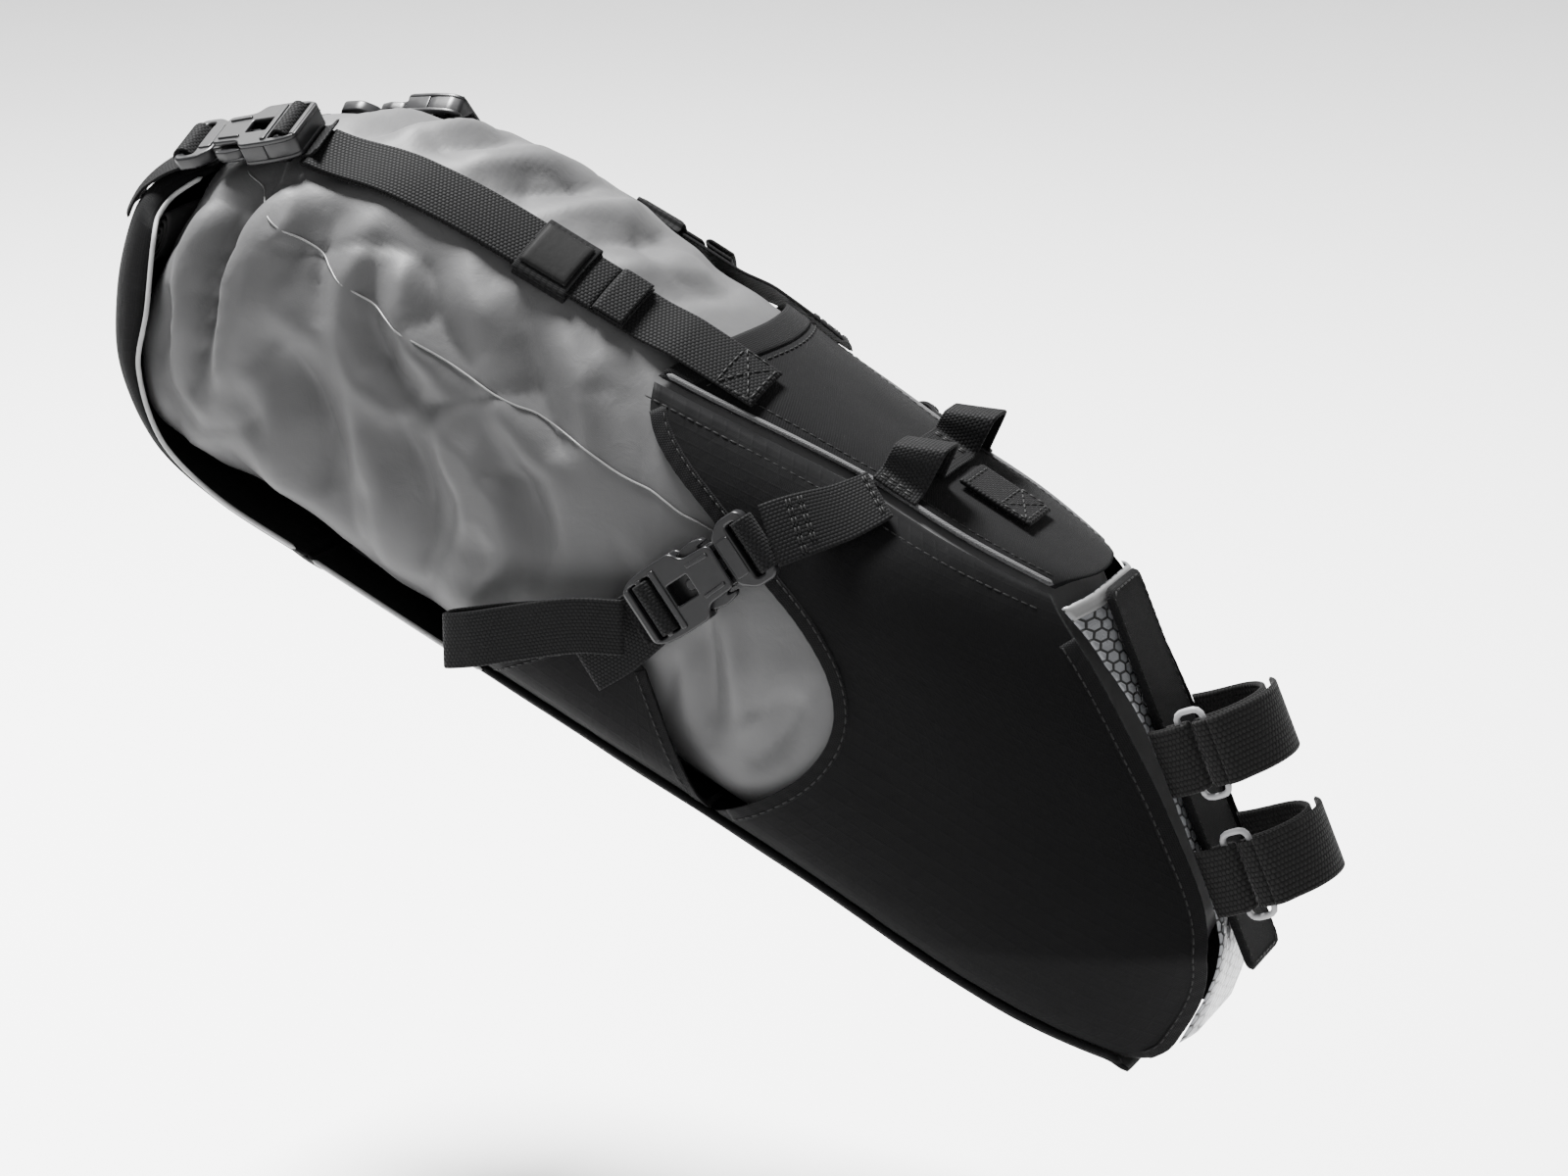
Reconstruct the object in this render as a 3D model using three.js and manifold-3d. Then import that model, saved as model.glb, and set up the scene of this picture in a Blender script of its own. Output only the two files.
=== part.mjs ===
// A bikepacking saddle bag: a stuffed roll-top dry bag held by a harness under a bicycle saddle.
// Millimetres, +X forwards along the bicycle, +Y to the rider's left, +Z up. The origin is on the
// nose pad's face, where the seatpost bears on the bag.
import * as THREE from "three";
import { mergeVertices } from "three/addons/utils/BufferGeometryUtils.js";
import Module from "manifold-3d";

const wasm = await Module();
wasm.setup();

// Attitude of the two working frames, both turned about Y through the origin.
const BAG_TILT = THREE.MathUtils.degToRad(25);
const POST_TILT = THREE.MathUtils.degToRad(23.5);
const NOSE_ANGLE = BAG_TILT + POST_TILT;

// Fabric, webbing and clearances.
const GAP = 0.4;
const FABRIC_IN = 0.8;
const FABRIC_OUT = 2.8;
const TOP_PANEL_IN = 1.5;
const TOP_PANEL_OUT = 3.3;
const WEBBING = 20;
const WEBBING_THICK = 1.2;
const STRAP_LIFT = 2.6;
const PANEL_STRAP_LIFT = 5;
const BINDING_RADIUS = 1.5;

// Seatpost and its straps, in the post frame.
const POST_RADIUS = 15.8;
const POST_STRAP_WIDTH = 25;
const POST_STRAP_THICK = 2;
const POST_STRAP_HEIGHTS = { upper: 31.5, lower: -14 };
const PAD_THICK = 3;
const PAD_HALF_WIDTH = 15;
const PAD_LOW = -50;
const PAD_HIGH = 95;

// The stuffed bag's side view and section, along its own axis: [x, value].
const TAIL_END = -438;
const TAIL_ROUND = 50;
const CROWN = [
  [-436, 44], [-400, 58], [-352, 77], [-288, 78], [-232, 72], [-188, 65],
  [-150, 61], [-85, 59.5], [30, 59.5],
];
const BELLY = [
  [-436, -70], [-400, -73], [-350, -75], [-150, -74], [-100, -75], [-23, -81], [30, -84],
];
const TOP_EXPONENT = [
  [-436, 2.2], [-288, 2.05], [-232, 2.3], [-188, 2.8], [-150, 3.4], [-110, 4.5], [30, 5],
];
const LOW_EXPONENT = [[-436, 2.3], [-288, 2.3], [-220, 3], [-160, 3.8], [30, 5]];
const HARNESS_EXPONENT = 8;
const NOSE_HALF_WIDTH = 20;
const WIDENING = 49;
const WIDENING_REACH = 45;
const FRONT_X = 30;

// Side-release buckle for the webbing.
const BUCKLE = { width: 27, thick: 9, body: 37, base: 16, socket: 23, prong: 18 };

const COLOURS = {
  coated: [0x8c8c8c, 0.75],
  nylon: [0x17171a, 0.8],
  canvas: [0x232326, 0.9],
  webbing: [0x141415, 0.85],
  plastic: [0x0c0c0d, 0.35],
  ripstop: [0x9a9ca0, 0.3],
  piping: [0xb8b8b8, 0.7],
  board: [0x303033, 0.5],
  ring: [0xa8aab0, 0.25],
};

// ---------- curves and surfaces ----------

/** Smooth value of a table of [x, value] at x. */
function along(table, x) {
  const last = table.length - 1;
  if (x <= table[0][0]) return table[0][1];
  if (x >= table[last][0]) return table[last][1];
  const k = table.findIndex((row) => row[0] > x) - 1;
  const slope = (i) => {
    const a = table[Math.max(i - 1, 0)];
    const b = table[Math.min(i + 1, last)];
    return (b[1] - a[1]) / (b[0] - a[0]);
  };
  const span = table[k + 1][0] - table[k][0];
  const u = (x - table[k][0]) / span;
  const h = u * u * (3 - 2 * u);
  const value = table[k][1] * (1 - h) + table[k + 1][1] * h;
  return value + span * (u * (1 - u) ** 2 * slope(k) - u * u * (1 - u) * slope(k + 1));
}

/** How the bag's section closes in at the blunt tail, from 1 down to 0. */
function tailShrink(x) {
  const depth = Math.min(1, Math.max(0, (TAIL_END + TAIL_ROUND - x) / TAIL_ROUND));
  return (1 - depth ** 2.8) ** (1 / 2.8);
}

function sectionAt(x) {
  const crown = along(CROWN, x);
  const belly = along(BELLY, x);
  const middle = (crown + belly) / 2;
  const shrink = tailShrink(x);
  return {
    middle,
    shrink,
    high: middle + (crown - middle) * shrink,
    low: middle + (belly - middle) * shrink,
    topExponent: along(TOP_EXPONENT, x),
    lowExponent: along(LOW_EXPONENT, x),
  };
}

/** Half width of the bag before its top and bottom round off: narrow at the nose, full at the tail. */
function prowWidth(x, z) {
  const behindPost = -(x * Math.cos(NOSE_ANGLE) + z * Math.sin(NOSE_ANGLE));
  const depth = Math.max(0, Math.min(behindPost, FRONT_X - x));
  return NOSE_HALF_WIDTH + WIDENING * (1 - Math.exp(-depth / WIDENING_REACH));
}

/** Half width of the bag at a point of its side view. */
function halfWidth(x, z, lowExponent) {
  const s = sectionAt(x);
  const upper = z > s.middle;
  const rise = upper ? (z - s.middle) / (s.high - s.middle) : (s.middle - z) / (s.middle - s.low);
  const n = upper ? s.topExponent : lowExponent ?? s.lowExponent;
  return prowWidth(x, z) * s.shrink * Math.max(0, 1 - Math.abs(rise) ** n) ** (1 / n);
}

/** Height of the bag's top at a point of its plan view. */
function topHeight(x, y) {
  const s = sectionAt(x);
  const share = Math.min(1, Math.abs(y) / (prowWidth(x, s.high) * s.shrink));
  return s.middle + (s.high - s.middle) * (1 - share ** s.topExponent) ** (1 / s.topExponent);
}

/** Height of the nose plane, set back from the seatpost, above a point of the bag's axis. */
function nosePlane(x, setBack) {
  return (-setBack - x * Math.cos(NOSE_ANGLE)) / Math.sin(NOSE_ANGLE);
}

const point = (x, y, z) => new THREE.Vector3(x, y, z);
const spline = (points) => new THREE.CatmullRomCurve3(points, false, "centripetal");
const sideSpline = (points) => spline(points.map(([x, z]) => point(x, 0, z)));

/** The geometry of a list of corner triples, turned so that its faces point out. */
function closedBody(corners) {
  let volume = 0;
  for (let i = 0; i < corners.length; i += 3) {
    volume += corners[i].dot(corners[i + 1].clone().cross(corners[i + 2]));
  }
  const flat = [];
  for (let i = 0; i < corners.length; i += 3) {
    const order = volume > 0 ? [0, 1, 2] : [0, 2, 1];
    order.forEach((k) => flat.push(...corners[i + k].toArray()));
  }
  const geometry = new THREE.BufferGeometry();
  geometry.setAttribute("position", new THREE.Float32BufferAttribute(flat, 3));
  return geometry;
}

/** A solid through a row of closed rings, with a flat fan at each end. */
function loft(rings) {
  const corners = [];
  const count = rings[0].length;
  for (let i = 0; i + 1 < rings.length; i++) {
    for (let j = 0; j < count; j++) {
      const k = (j + 1) % count;
      corners.push(rings[i][j], rings[i + 1][j], rings[i + 1][k]);
      corners.push(rings[i][j], rings[i + 1][k], rings[i][k]);
    }
  }
  const first = rings[0];
  const last = rings[rings.length - 1];
  for (let j = 1; j + 1 < count; j++) {
    corners.push(first[0], first[j], first[j + 1]);
    corners.push(last[0], last[j + 1], last[j]);
  }
  return closedBody(corners);
}

/** A sheet of material between an inner and an outer surface, each a function of row and column. */
function sheet(rows, columns, inner, outer) {
  const rings = [];
  for (let i = 0; i <= rows; i++) {
    const ring = [];
    for (let j = 0; j <= columns; j++) ring.push(outer(i / rows, j / columns));
    for (let j = columns; j >= 0; j--) ring.push(inner(i / rows, j / columns));
    rings.push(ring);
  }
  const corners = [];
  const count = rings[0].length;
  for (let i = 0; i < rows; i++) {
    for (let j = 0; j < count; j++) {
      const k = (j + 1) % count;
      corners.push(rings[i][j], rings[i + 1][j], rings[i + 1][k]);
      corners.push(rings[i][j], rings[i + 1][k], rings[i][k]);
    }
  }
  const cap = (ring, flip) => {
    for (let j = 0; j < columns; j++) {
      const [a, b, c, d] = [ring[j], ring[j + 1], ring[count - 2 - j], ring[count - 1 - j]];
      corners.push(...(flip ? [a, c, b, a, d, c] : [a, b, c, a, c, d]));
    }
  };
  cap(rings[0], false);
  cap(rings[rows], true);
  return closedBody(corners);
}

/** A patch of side view stretched between four edges: u runs rear to front, v bottom to top. */
function patch(rear, front, bottom, top) {
  return (u, v) => {
    const sides = rear.getPointAt(v).multiplyScalar(1 - u).addScaledVector(front.getPointAt(v), u);
    const ends = bottom.getPointAt(u).multiplyScalar(1 - v).addScaledVector(top.getPointAt(u), v);
    const corners = point(0, 0, 0)
      .addScaledVector(bottom.getPointAt(0), (1 - u) * (1 - v))
      .addScaledVector(bottom.getPointAt(1), u * (1 - v))
      .addScaledVector(top.getPointAt(0), (1 - u) * v)
      .addScaledVector(top.getPointAt(1), u * v);
    return sides.add(ends).sub(corners);
  };
}

/** A round tube of few sides along a curve. */
function tube(curve, radius, steps, sides = 8) {
  const outline = new THREE.Shape();
  for (let k = 0; k < sides; k++) {
    const a = (k / sides) * 2 * Math.PI;
    const move = k ? "lineTo" : "moveTo";
    outline[move](radius * Math.cos(a), radius * Math.sin(a));
  }
  return new THREE.ExtrudeGeometry(outline, { steps, bevelEnabled: false, extrudePath: curve });
}

// ---------- solids for cutting and joining ----------

function toSolid(geometry) {
  const bare = geometry.clone();
  bare.deleteAttribute("normal");
  bare.deleteAttribute("uv");
  const merged = mergeVertices(bare, 1e-4);
  return new wasm.Manifold(
    new wasm.Mesh({
      numProp: 3,
      vertProperties: new Float32Array(merged.attributes.position.array),
      triVerts: new Uint32Array(merged.index.array),
    }),
  );
}

function toGeometry(solid) {
  const mesh = solid.getMesh();
  const geometry = new THREE.BufferGeometry();
  geometry.setAttribute("position", new THREE.BufferAttribute(mesh.vertProperties, 3));
  geometry.setIndex(new THREE.BufferAttribute(mesh.triVerts, 1));
  return geometry.toNonIndexed();
}

function box(lowX, highX, lowY, highY, lowZ, highZ) {
  const geometry = new THREE.BoxGeometry(highX - lowX, highY - lowY, highZ - lowZ);
  geometry.translate((lowX + highX) / 2, (lowY + highY) / 2, (lowZ + highZ) / 2);
  return geometry;
}

/** A plate of an outline in the XY plane, centred on z = 0, with eased edges. */
function plate(outline, thick, ease) {
  const geometry = new THREE.ExtrudeGeometry(outline, {
    depth: thick - 2 * ease,
    bevelThickness: ease,
    bevelSize: ease,
    bevelOffset: -ease,
    bevelSegments: 1,
    curveSegments: 4,
  });
  geometry.translate(0, 0, ease - thick / 2);
  return geometry;
}

function outlineOf(points) {
  const shape = new THREE.Shape();
  points.forEach(([x, y], k) => (k ? shape.lineTo(x, y) : shape.moveTo(x, y)));
  return shape;
}

/** The outline mirrored in the X axis, from the points on its +Y side. */
function mirrored(points) {
  return outlineOf([...points.map(([x, y]) => [x, -y]), ...points.slice().reverse()]);
}

// ---------- the scene graph ----------

const model = new THREE.Group();
const bagFrame = new THREE.Group();
const postFrame = new THREE.Group();
bagFrame.rotation.y = BAG_TILT;
postFrame.rotation.y = -POST_TILT;
model.add(bagFrame, postFrame);

function addPart(parent, name, finish, geometry) {
  const [color, roughness] = COLOURS[finish];
  const material = new THREE.MeshStandardMaterial({ color, roughness, metalness: 0 });
  const mesh = new THREE.Mesh(geometry, material);
  mesh.name = name;
  parent.add(mesh);
  return mesh;
}

const SIDES = { right: -1, left: 1 };

/** Runs a builder once for each side of the bag. */
function bothSides(build) {
  Object.entries(SIDES).forEach(([side, sign]) => build(side, sign));
}

// ---------- dry bag ----------

const BAG_FRONT = 12;
const BAG_NOSE_SET_BACK = 17;

/** One cross-section of the stuffed bag, cut off at the top where it meets the nose. */
function bagRing(x, count) {
  const s = sectionAt(x);
  const high = Math.min(s.high, nosePlane(x, BAG_NOSE_SET_BACK));
  const middle = (high + s.low) / 2;
  const { smoothstep } = THREE.MathUtils;
  const inset = 0.7 * smoothstep(x, -260, -235) + 2.5 * smoothstep(x, -70, 0);
  return Array.from({ length: count }, (_, j) => {
    const a = (j / count) * 2 * Math.PI;
    const [c, r] = [Math.cos(a), Math.sin(a)];
    const n = r > 0 ? s.topExponent : s.lowExponent;
    const reach = (Math.abs(c) ** n + Math.abs(r) ** n) ** (-1 / n);
    const z = middle + (reach * r * (high - s.low)) / 2;
    return point(x, reach * c * (prowWidth(x, z) * s.shrink - inset), z);
  });
}

function dryBag() {
  const tailStations = 8;
  const bodyStations = 18;
  const rings = [];
  for (let i = 0; i < tailStations; i++) {
    const closing = 1 - Math.cos((i / tailStations) * (Math.PI / 2));
    rings.push(bagRing(TAIL_END + 0.6 + TAIL_ROUND * closing, 28));
  }
  const bodyStart = TAIL_END + TAIL_ROUND;
  for (let i = 0; i <= bodyStations; i++) {
    rings.push(bagRing(bodyStart + ((BAG_FRONT - bodyStart) * i) / bodyStations, 28));
  }
  return loft(rings);
}

/** The rolled closure at the end of the dry bag, under the tail flap. */
function rollTop() {
  const length = 74;
  const outline = new THREE.Shape();
  outline.absellipse(0, 0, 4, 12, 0, 2 * Math.PI);
  const geometry = new THREE.ExtrudeGeometry(outline, {
    depth: length,
    bevelEnabled: false,
    curveSegments: 8,
  });
  geometry.translate(0, 0, -length / 2);
  geometry.rotateX(Math.PI / 2);
  geometry.translate(TAIL_END - 4.6, 0, -12);
  return geometry;
}

addPart(bagFrame, "dry_bag", "coated", dryBag());
addPart(bagFrame, "dry_bag_roll_top", "coated", rollTop());

// ---------- harness panels ----------

const SEAM = [[-241, 54.5], [-181, 56.5], [-130, 56], [-86, 55.5]];
const WINDOW = [
  [-152, -71], [-136, -52], [-126, -33], [-125, -15], [-133, -1], [-150, 11],
  [-172, 20], [-197, 29], [-222, 38], [-235, 46], [-241, 54.5],
];
const NOSE_EDGE = [
  [14, -82.5], [24, -76], [27, -62], [26, -42], [17, -22], [-12, 5], [-31, 20], [-62, 42], [-86, 55.5],
];
const SIDE_FOOT = [[-152, -71], [-100, -73], [-40, -77.5], [14, -82.5]];

/** A panel lying on the side of the bag over an outline of its side view. */
function sidePanel(sign, outline, rows, columns, inside, outside) {
  const at = (offset) => (u, v) => {
    const p = outline(u, v);
    p.y = sign * (halfWidth(p.x, p.z, HARNESS_EXPONENT) + offset);
    return p;
  };
  return sheet(rows, columns, at(inside), at(outside));
}

/** The top panel: a saddle-shaped cover between the two side panels. */
function topPanel() {
  const seam = sideSpline(SEAM);
  const rearArch = 14;
  const noseArch = 8;
  const at = (offset) => (u, v) => {
    const edge = seam.getPointAt(u);
    const across = 2 * v - 1;
    const x = edge.x + (1 - across ** 2) * (rearArch * (1 - u) + noseArch * u);
    const half = halfWidth(edge.x, edge.z + 0.9) + 1;
    const y = across * half;
    return point(x, y, topHeight(x, y * 0.985) + offset);
  };
  return sheet(14, 14, at(TOP_PANEL_IN), at(TOP_PANEL_OUT));
}

const TRAY_FRONT = 18;
const FLAP_X = -330;
const TRAY_CURL = 4.5;

/** Half width of the bottom tray along the bag. */
function trayHalf(x) {
  const full = 62;
  const harness = halfWidth(Math.min(x, 10), along(BELLY, x) + 3.4, HARNESS_EXPONENT) + FABRIC_OUT;
  return x < -252 ? full : Math.min(full, harness);
}

/** How the rim of the tray or flap turns in across its width, from 0 to 1. */
function rimCurl(across) {
  return 1 - (1 - Math.abs(across) ** 3.2) ** (1 / 3.2);
}

function bottomPanel() {
  const thick = 2;
  const at = (drop) => (u, v) => {
    const x = FLAP_X + (TRAY_FRONT - FLAP_X) * u;
    const across = 2 * v - 1;
    return point(x, across * trayHalf(x), along(BELLY, x) - drop + TRAY_CURL * rimCurl(across));
  };
  return sheet(22, 12, at(2), at(2 + thick));
}

/** Plastic stiffener laid in the tray under the dry bag. */
function baseBoard() {
  const at = (drop) => (u, v) => {
    const x = -325 + 257 * u;
    return point(x, (2 * v - 1) * 38, along(BELLY, x) - drop);
  };
  return sheet(12, 1, at(0.4), at(1.3));
}

addPart(bagFrame, "top_panel", "canvas", topPanel());
addPart(bagFrame, "bottom_panel", "nylon", bottomPanel());
addPart(bagFrame, "base_board", "board", baseBoard());

const sidePatch = patch(
  sideSpline(WINDOW),
  sideSpline(NOSE_EDGE),
  sideSpline(SIDE_FOOT),
  sideSpline(SEAM),
);
const WING_REAR = [[-252, -71], [-214, -27]];
const WING_FRONT = [[-153, -71], [-172, -54], [-194, -33]];
const wingPatch = patch(
  sideSpline(WING_REAR),
  sideSpline(WING_FRONT),
  sideSpline([WING_REAR[0], WING_FRONT[0]]),
  sideSpline([WING_REAR[1], WING_FRONT[2]]),
);
bothSides((side, sign) => {
  addPart(bagFrame, `side_panel_${side}`, "nylon", sidePanel(sign, sidePatch, 18, 14, FABRIC_IN, FABRIC_OUT));
  addPart(bagFrame, `lower_wing_${side}`, "nylon", sidePanel(sign, wingPatch, 6, 8, FABRIC_IN, FABRIC_OUT));
});

// ---------- where the top straps run ----------

// The stuffed bag sits rolled a few degrees, so its straps lie shifted to the left at the tail.
const STRAP_SPREAD = [[-402, 48], [-340, 45.5], [-207, 33]];
const TAIL_SHIFT = [[-402, 11], [-340, 7.5], [-207, 2]];

/** Where a top strap's centre line runs across the bag. */
function strapLine(x, sign) {
  return sign * along(STRAP_SPREAD, x) + along(TAIL_SHIFT, x);
}

/** How much lower a strap's tail end sits than the right one. */
function strapDrop(sign) {
  const x = STRAP_SPREAD[0][0];
  return topHeight(x, strapLine(x, -1)) - topHeight(x, strapLine(x, sign));
}

// ---------- tail flap ----------

const FLAP_SPINE = [
  [FLAP_X - 0.5, -79.2], [-372, -79.5], [-407, -75], [-434, -57], [-450, -30], [-456, -5],
  [-455.5, 6], [-451, 15], [-443, 22.5], [-434, 28.5],
];
const FLAP_HALF = [[0, 62], [0.3, 62], [0.6, 62], [0.8, 59], [0.9, 53], [1, 44]];
const FLAP_DEPTH = [[0, 4.5], [0.25, 6], [0.5, 18], [0.65, 25], [0.8, 20], [1, 4]];
const flapSpine = sideSpline(FLAP_SPINE);

/** A point of the tail flap: u runs up its spine, across from edge to edge, depth in from outside. */
function flapPoint(u, across, depth) {
  const p = flapSpine.getPointAt(u);
  const t = flapSpine.getTangentAt(u);
  const inward = point(-t.z, 0, t.x);
  if (inward.z < 0 && u < 0.3) inward.negate();
  if (inward.x < 0 && u >= 0.3) inward.negate();
  p.addScaledVector(inward, depth + along(FLAP_DEPTH, u) * rimCurl(across));
  p.y = across * along(FLAP_HALF, u) + TAIL_SHIFT[0][1] * THREE.MathUtils.smoothstep(u, 0.55, 1);
  return p;
}

function tailFlap() {
  const at = (depth) => (u, v) => flapPoint(u, 2 * v - 1, depth);
  return sheet(20, 14, at(2.1), at(0));
}

/** The light piping along the flap's rim, one length down each side. */
function flapPiping(sign) {
  const points = [];
  for (let k = 0; k <= 12; k++) {
    const p = flapPoint(0.02 + 0.96 * (k / 12), sign, 1);
    p.y += sign * (BINDING_RADIUS + 2 * GAP);
    points.push(p);
  }
  return tube(spline(points), BINDING_RADIUS, 28, 6);
}

function trayPiping(sign) {
  const points = [];
  for (let k = 0; k <= 8; k++) {
    const x = FLAP_X + 3 + 76 * (k / 8);
    points.push(point(x, sign * (trayHalf(x) + BINDING_RADIUS + GAP), along(BELLY, x) + 1.2));
  }
  return tube(spline(points), BINDING_RADIUS, 10, 6);
}

/** Webbing sewn up the back of the flap, standing off in two low loops for a lamp clip. */
function lightLoops() {
  const from = 0.52;
  const to = 0.86;
  const at = (lift) => (u, v) => {
    const p = from + (to - from) * u;
    const bow = 5 * Math.max(0, Math.sin(u * 4 * Math.PI - Math.PI / 2)) ** 0.7;
    return flapPoint(p, (2 * v - 1) * 0.15, -(0.5 + lift + bow));
  };
  return sheet(24, 1, at(0), at(1.3));
}

addPart(bagFrame, "tail_flap", "nylon", tailFlap());
addPart(bagFrame, "light_loop_webbing", "webbing", lightLoops());
bothSides((side, sign) => {
  addPart(bagFrame, `flap_piping_${side}`, "piping", flapPiping(sign));
  addPart(bagFrame, `tray_piping_${side}`, "piping", trayPiping(sign));
});

// ---------- side-release buckles ----------

/** Female half: x from the mouth to the ladder end, y across, z out of the bag. */
function buckleFemale() {
  const w = BUCKLE.width / 2;
  const outline = mirrored([
    [0, 9], [12, 9.4], [14, w], [26, w], [33, w - 0.8], [BUCKLE.body, w - 3],
  ]);
  const ladder = (x0, x1) => toSolid(box(x0, x1, -WEBBING / 2 - 0.6, WEBBING / 2 + 0.6, -9, 9));
  const socket = toSolid(box(-1, BUCKLE.socket, -10.8, 10.8, -2.7, 2.7));
  const grip = toSolid(box(13.5, 21, -4, 4, 3.9, 9));
  return toGeometry(
    toSolid(plate(outline, BUCKLE.thick, 1.2))
      .subtract(socket)
      .subtract(grip)
      .subtract(ladder(25.4, 28))
      .subtract(ladder(31, 33.8)),
  );
}

/** Male half: the webbing bar at -x, a middle guide and two side prongs towards +x. */
function buckleMale() {
  const w = BUCKLE.width / 2;
  const base = mirrored([[-BUCKLE.base, w - 2], [-BUCKLE.base + 2, w], [-6.5, w], [-0.6, 9]]);
  const slot = toSolid(box(-12, -8.6, -WEBBING / 2 - 0.4, WEBBING / 2 + 0.4, -9, 9));
  const prong = (s) => {
    const outline = outlineOf([
      [-2, 5.4 * s], [BUCKLE.prong - 1, 6.2 * s], [BUCKLE.prong, 8 * s], [13.4, 10.2 * s],
      [11.6, 11.8 * s], [6.5, 12.6 * s], [2, 11.6 * s], [1, 10 * s], [5, 9.6 * s], [3, 8.2 * s],
      [-2, 8 * s],
    ]);
    return toSolid(plate(outline, 3.6, 0.5));
  };
  const guide = toSolid(plate(mirrored([[-2, 2.2], [15, 2.2], [16, 1.2]]), 3.6, 0.5));
  const body = toSolid(plate(base, 5, 1)).subtract(slot);
  return toGeometry(body.add(guide).add(prong(1)).add(prong(-1)));
}

/** Places buckle halves so that x runs along the pull and z out of the bag. */
function seatBuckle(mesh, from, to, outward) {
  const pull = to.clone().sub(from).normalize();
  const across = outward.clone().cross(pull).normalize();
  const out = pull.clone().cross(across);
  mesh.matrix.makeBasis(pull, across, out).setPosition(from);
  mesh.matrix.decompose(mesh.position, mesh.quaternion, mesh.scale);
}

const TAIL_BUCKLES = {
  right: { bar: [-443, 28.5], ladder: [-401, 61], lean: -0.3 },
  left: { bar: [-426, 23.1], ladder: [-381.5, 51.9], lean: 1.05 },
};
const SIDE_BUCKLE = { bar: [-176, 36], ladder: [-202, -13], barLift: 13.5, ladderLift: 11.6 };

function addBuckle(place, side, barEnd, ladderEnd, outward) {
  const pull = ladderEnd.clone().sub(barEnd).normalize();
  const mouth = barEnd.clone().addScaledVector(pull, BUCKLE.base);
  const female = addPart(bagFrame, `${place}_buckle_female_${side}`, "plastic", buckleFemale());
  const male = addPart(bagFrame, `${place}_buckle_male_${side}`, "plastic", buckleMale());
  seatBuckle(female, mouth, ladderEnd, outward);
  seatBuckle(male, mouth, ladderEnd, outward);
}

bothSides((side, sign) => {
  const { bar, ladder, lean } = TAIL_BUCKLES[side];
  const [barEnd, ladderEnd] = [bar, ladder].map(([x, z]) => point(x, strapLine(x, sign), z));
  addBuckle("tail", side, barEnd, ladderEnd, point(0, lean, 1));
});
bothSides((side, sign) => {
  const seat = ([x, z], lift) => point(x, sign * (halfWidth(x, z) + lift), z);
  const barEnd = seat(SIDE_BUCKLE.bar, SIDE_BUCKLE.barLift);
  const ladderEnd = seat(SIDE_BUCKLE.ladder, SIDE_BUCKLE.ladderLift);
  addBuckle("side", side, barEnd, ladderEnd, point(0, sign, 0));
});

// ---------- top compression straps ----------

const STRAP_FRONT = -207;
const STRAP_REAR = { right: -397, left: -376 };
const TAIL_LAYER_FRONT = -274;
const PANEL_REAR = -236;
const TAUT = [[-402, 54.5], [-385, 57.5], [-366, 64], [-350, 69]];

/** Centre of the top strap's underside and the way its width leans, at a point of the bag's axis. */
function topStrapPoint(x, sign, across, lift) {
  const line = strapLine(x, sign);
  const slope = (topHeight(x, line + 1) - topHeight(x, line - 1)) / 2;
  const normal = point(0, -slope, 1).normalize();
  const y = line + (across * WEBBING * normal.z) / 2;
  const panel = THREE.MathUtils.smoothstep(x, PANEL_REAR - 22, PANEL_REAR - 3);
  const free = 1 - THREE.MathUtils.smoothstep(x, -385, -350);
  const taut = Math.max(along(TAUT, x) - strapDrop(sign) + slope * (y - line), topHeight(x, y) + 1);
  const lying = STRAP_LIFT + (PANEL_STRAP_LIFT - STRAP_LIFT) * panel;
  const base = point(x, y, THREE.MathUtils.lerp(topHeight(x, y), taut, free));
  return base.addScaledVector(normal, lift + lying * (1 - free));
}

function topStrapLayer(sign, xFrom, xTo, lift, thick, rows) {
  const at = (level) => (u, v) => topStrapPoint(xFrom + (xTo - xFrom) * u, sign, 2 * v - 1, level);
  return sheet(rows, 2, at(lift), at(lift + thick));
}

/** Folded and sewn end of the free strap. */
function foldedEnd(sign) {
  return topStrapLayer(sign, TAIL_LAYER_FRONT + GAP, TAIL_LAYER_FRONT + 13, WEBBING_THICK + GAP, 3.4, 3);
}

const KEEPER_X = -295;
const KEEPER_HALF = 11;

/** Elastic keeper: a flat sleeve round both layers of the strap. */
function strapKeeper(sign) {
  const wall = 1.1;
  const stack = 2 * WEBBING_THICK + GAP;
  const ring = (u, grow) => {
    const x = KEEPER_X + KEEPER_HALF * (2 * u - 1);
    const half = 1 + (0.6 + grow) / (WEBBING / 2);
    const [low, high] = [-0.3 - grow, stack + 0.5 + grow];
    const loop = [[-half, low], [0, low], [half, low], [half, high], [0, high], [-half, high]];
    return loop.map(([across, lift]) => topStrapPoint(x, sign, across, lift));
  };
  const [outRear, outFront, inRear, inFront] = [ring(0, wall), ring(1, wall), ring(0, 0), ring(1, 0)];
  const corners = [];
  const quad = (a, b, c, d) => corners.push(a, b, c, a, c, d);
  for (let k = 0; k < outRear.length; k++) {
    const n = (k + 1) % outRear.length;
    quad(outRear[k], outRear[n], outFront[n], outFront[k]);
    quad(inRear[k], inFront[k], inFront[n], inRear[n]);
    quad(outRear[k], inRear[k], inRear[n], outRear[n]);
    quad(outFront[k], outFront[n], inFront[n], inFront[k]);
  }
  return closedBody(corners);
}

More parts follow.
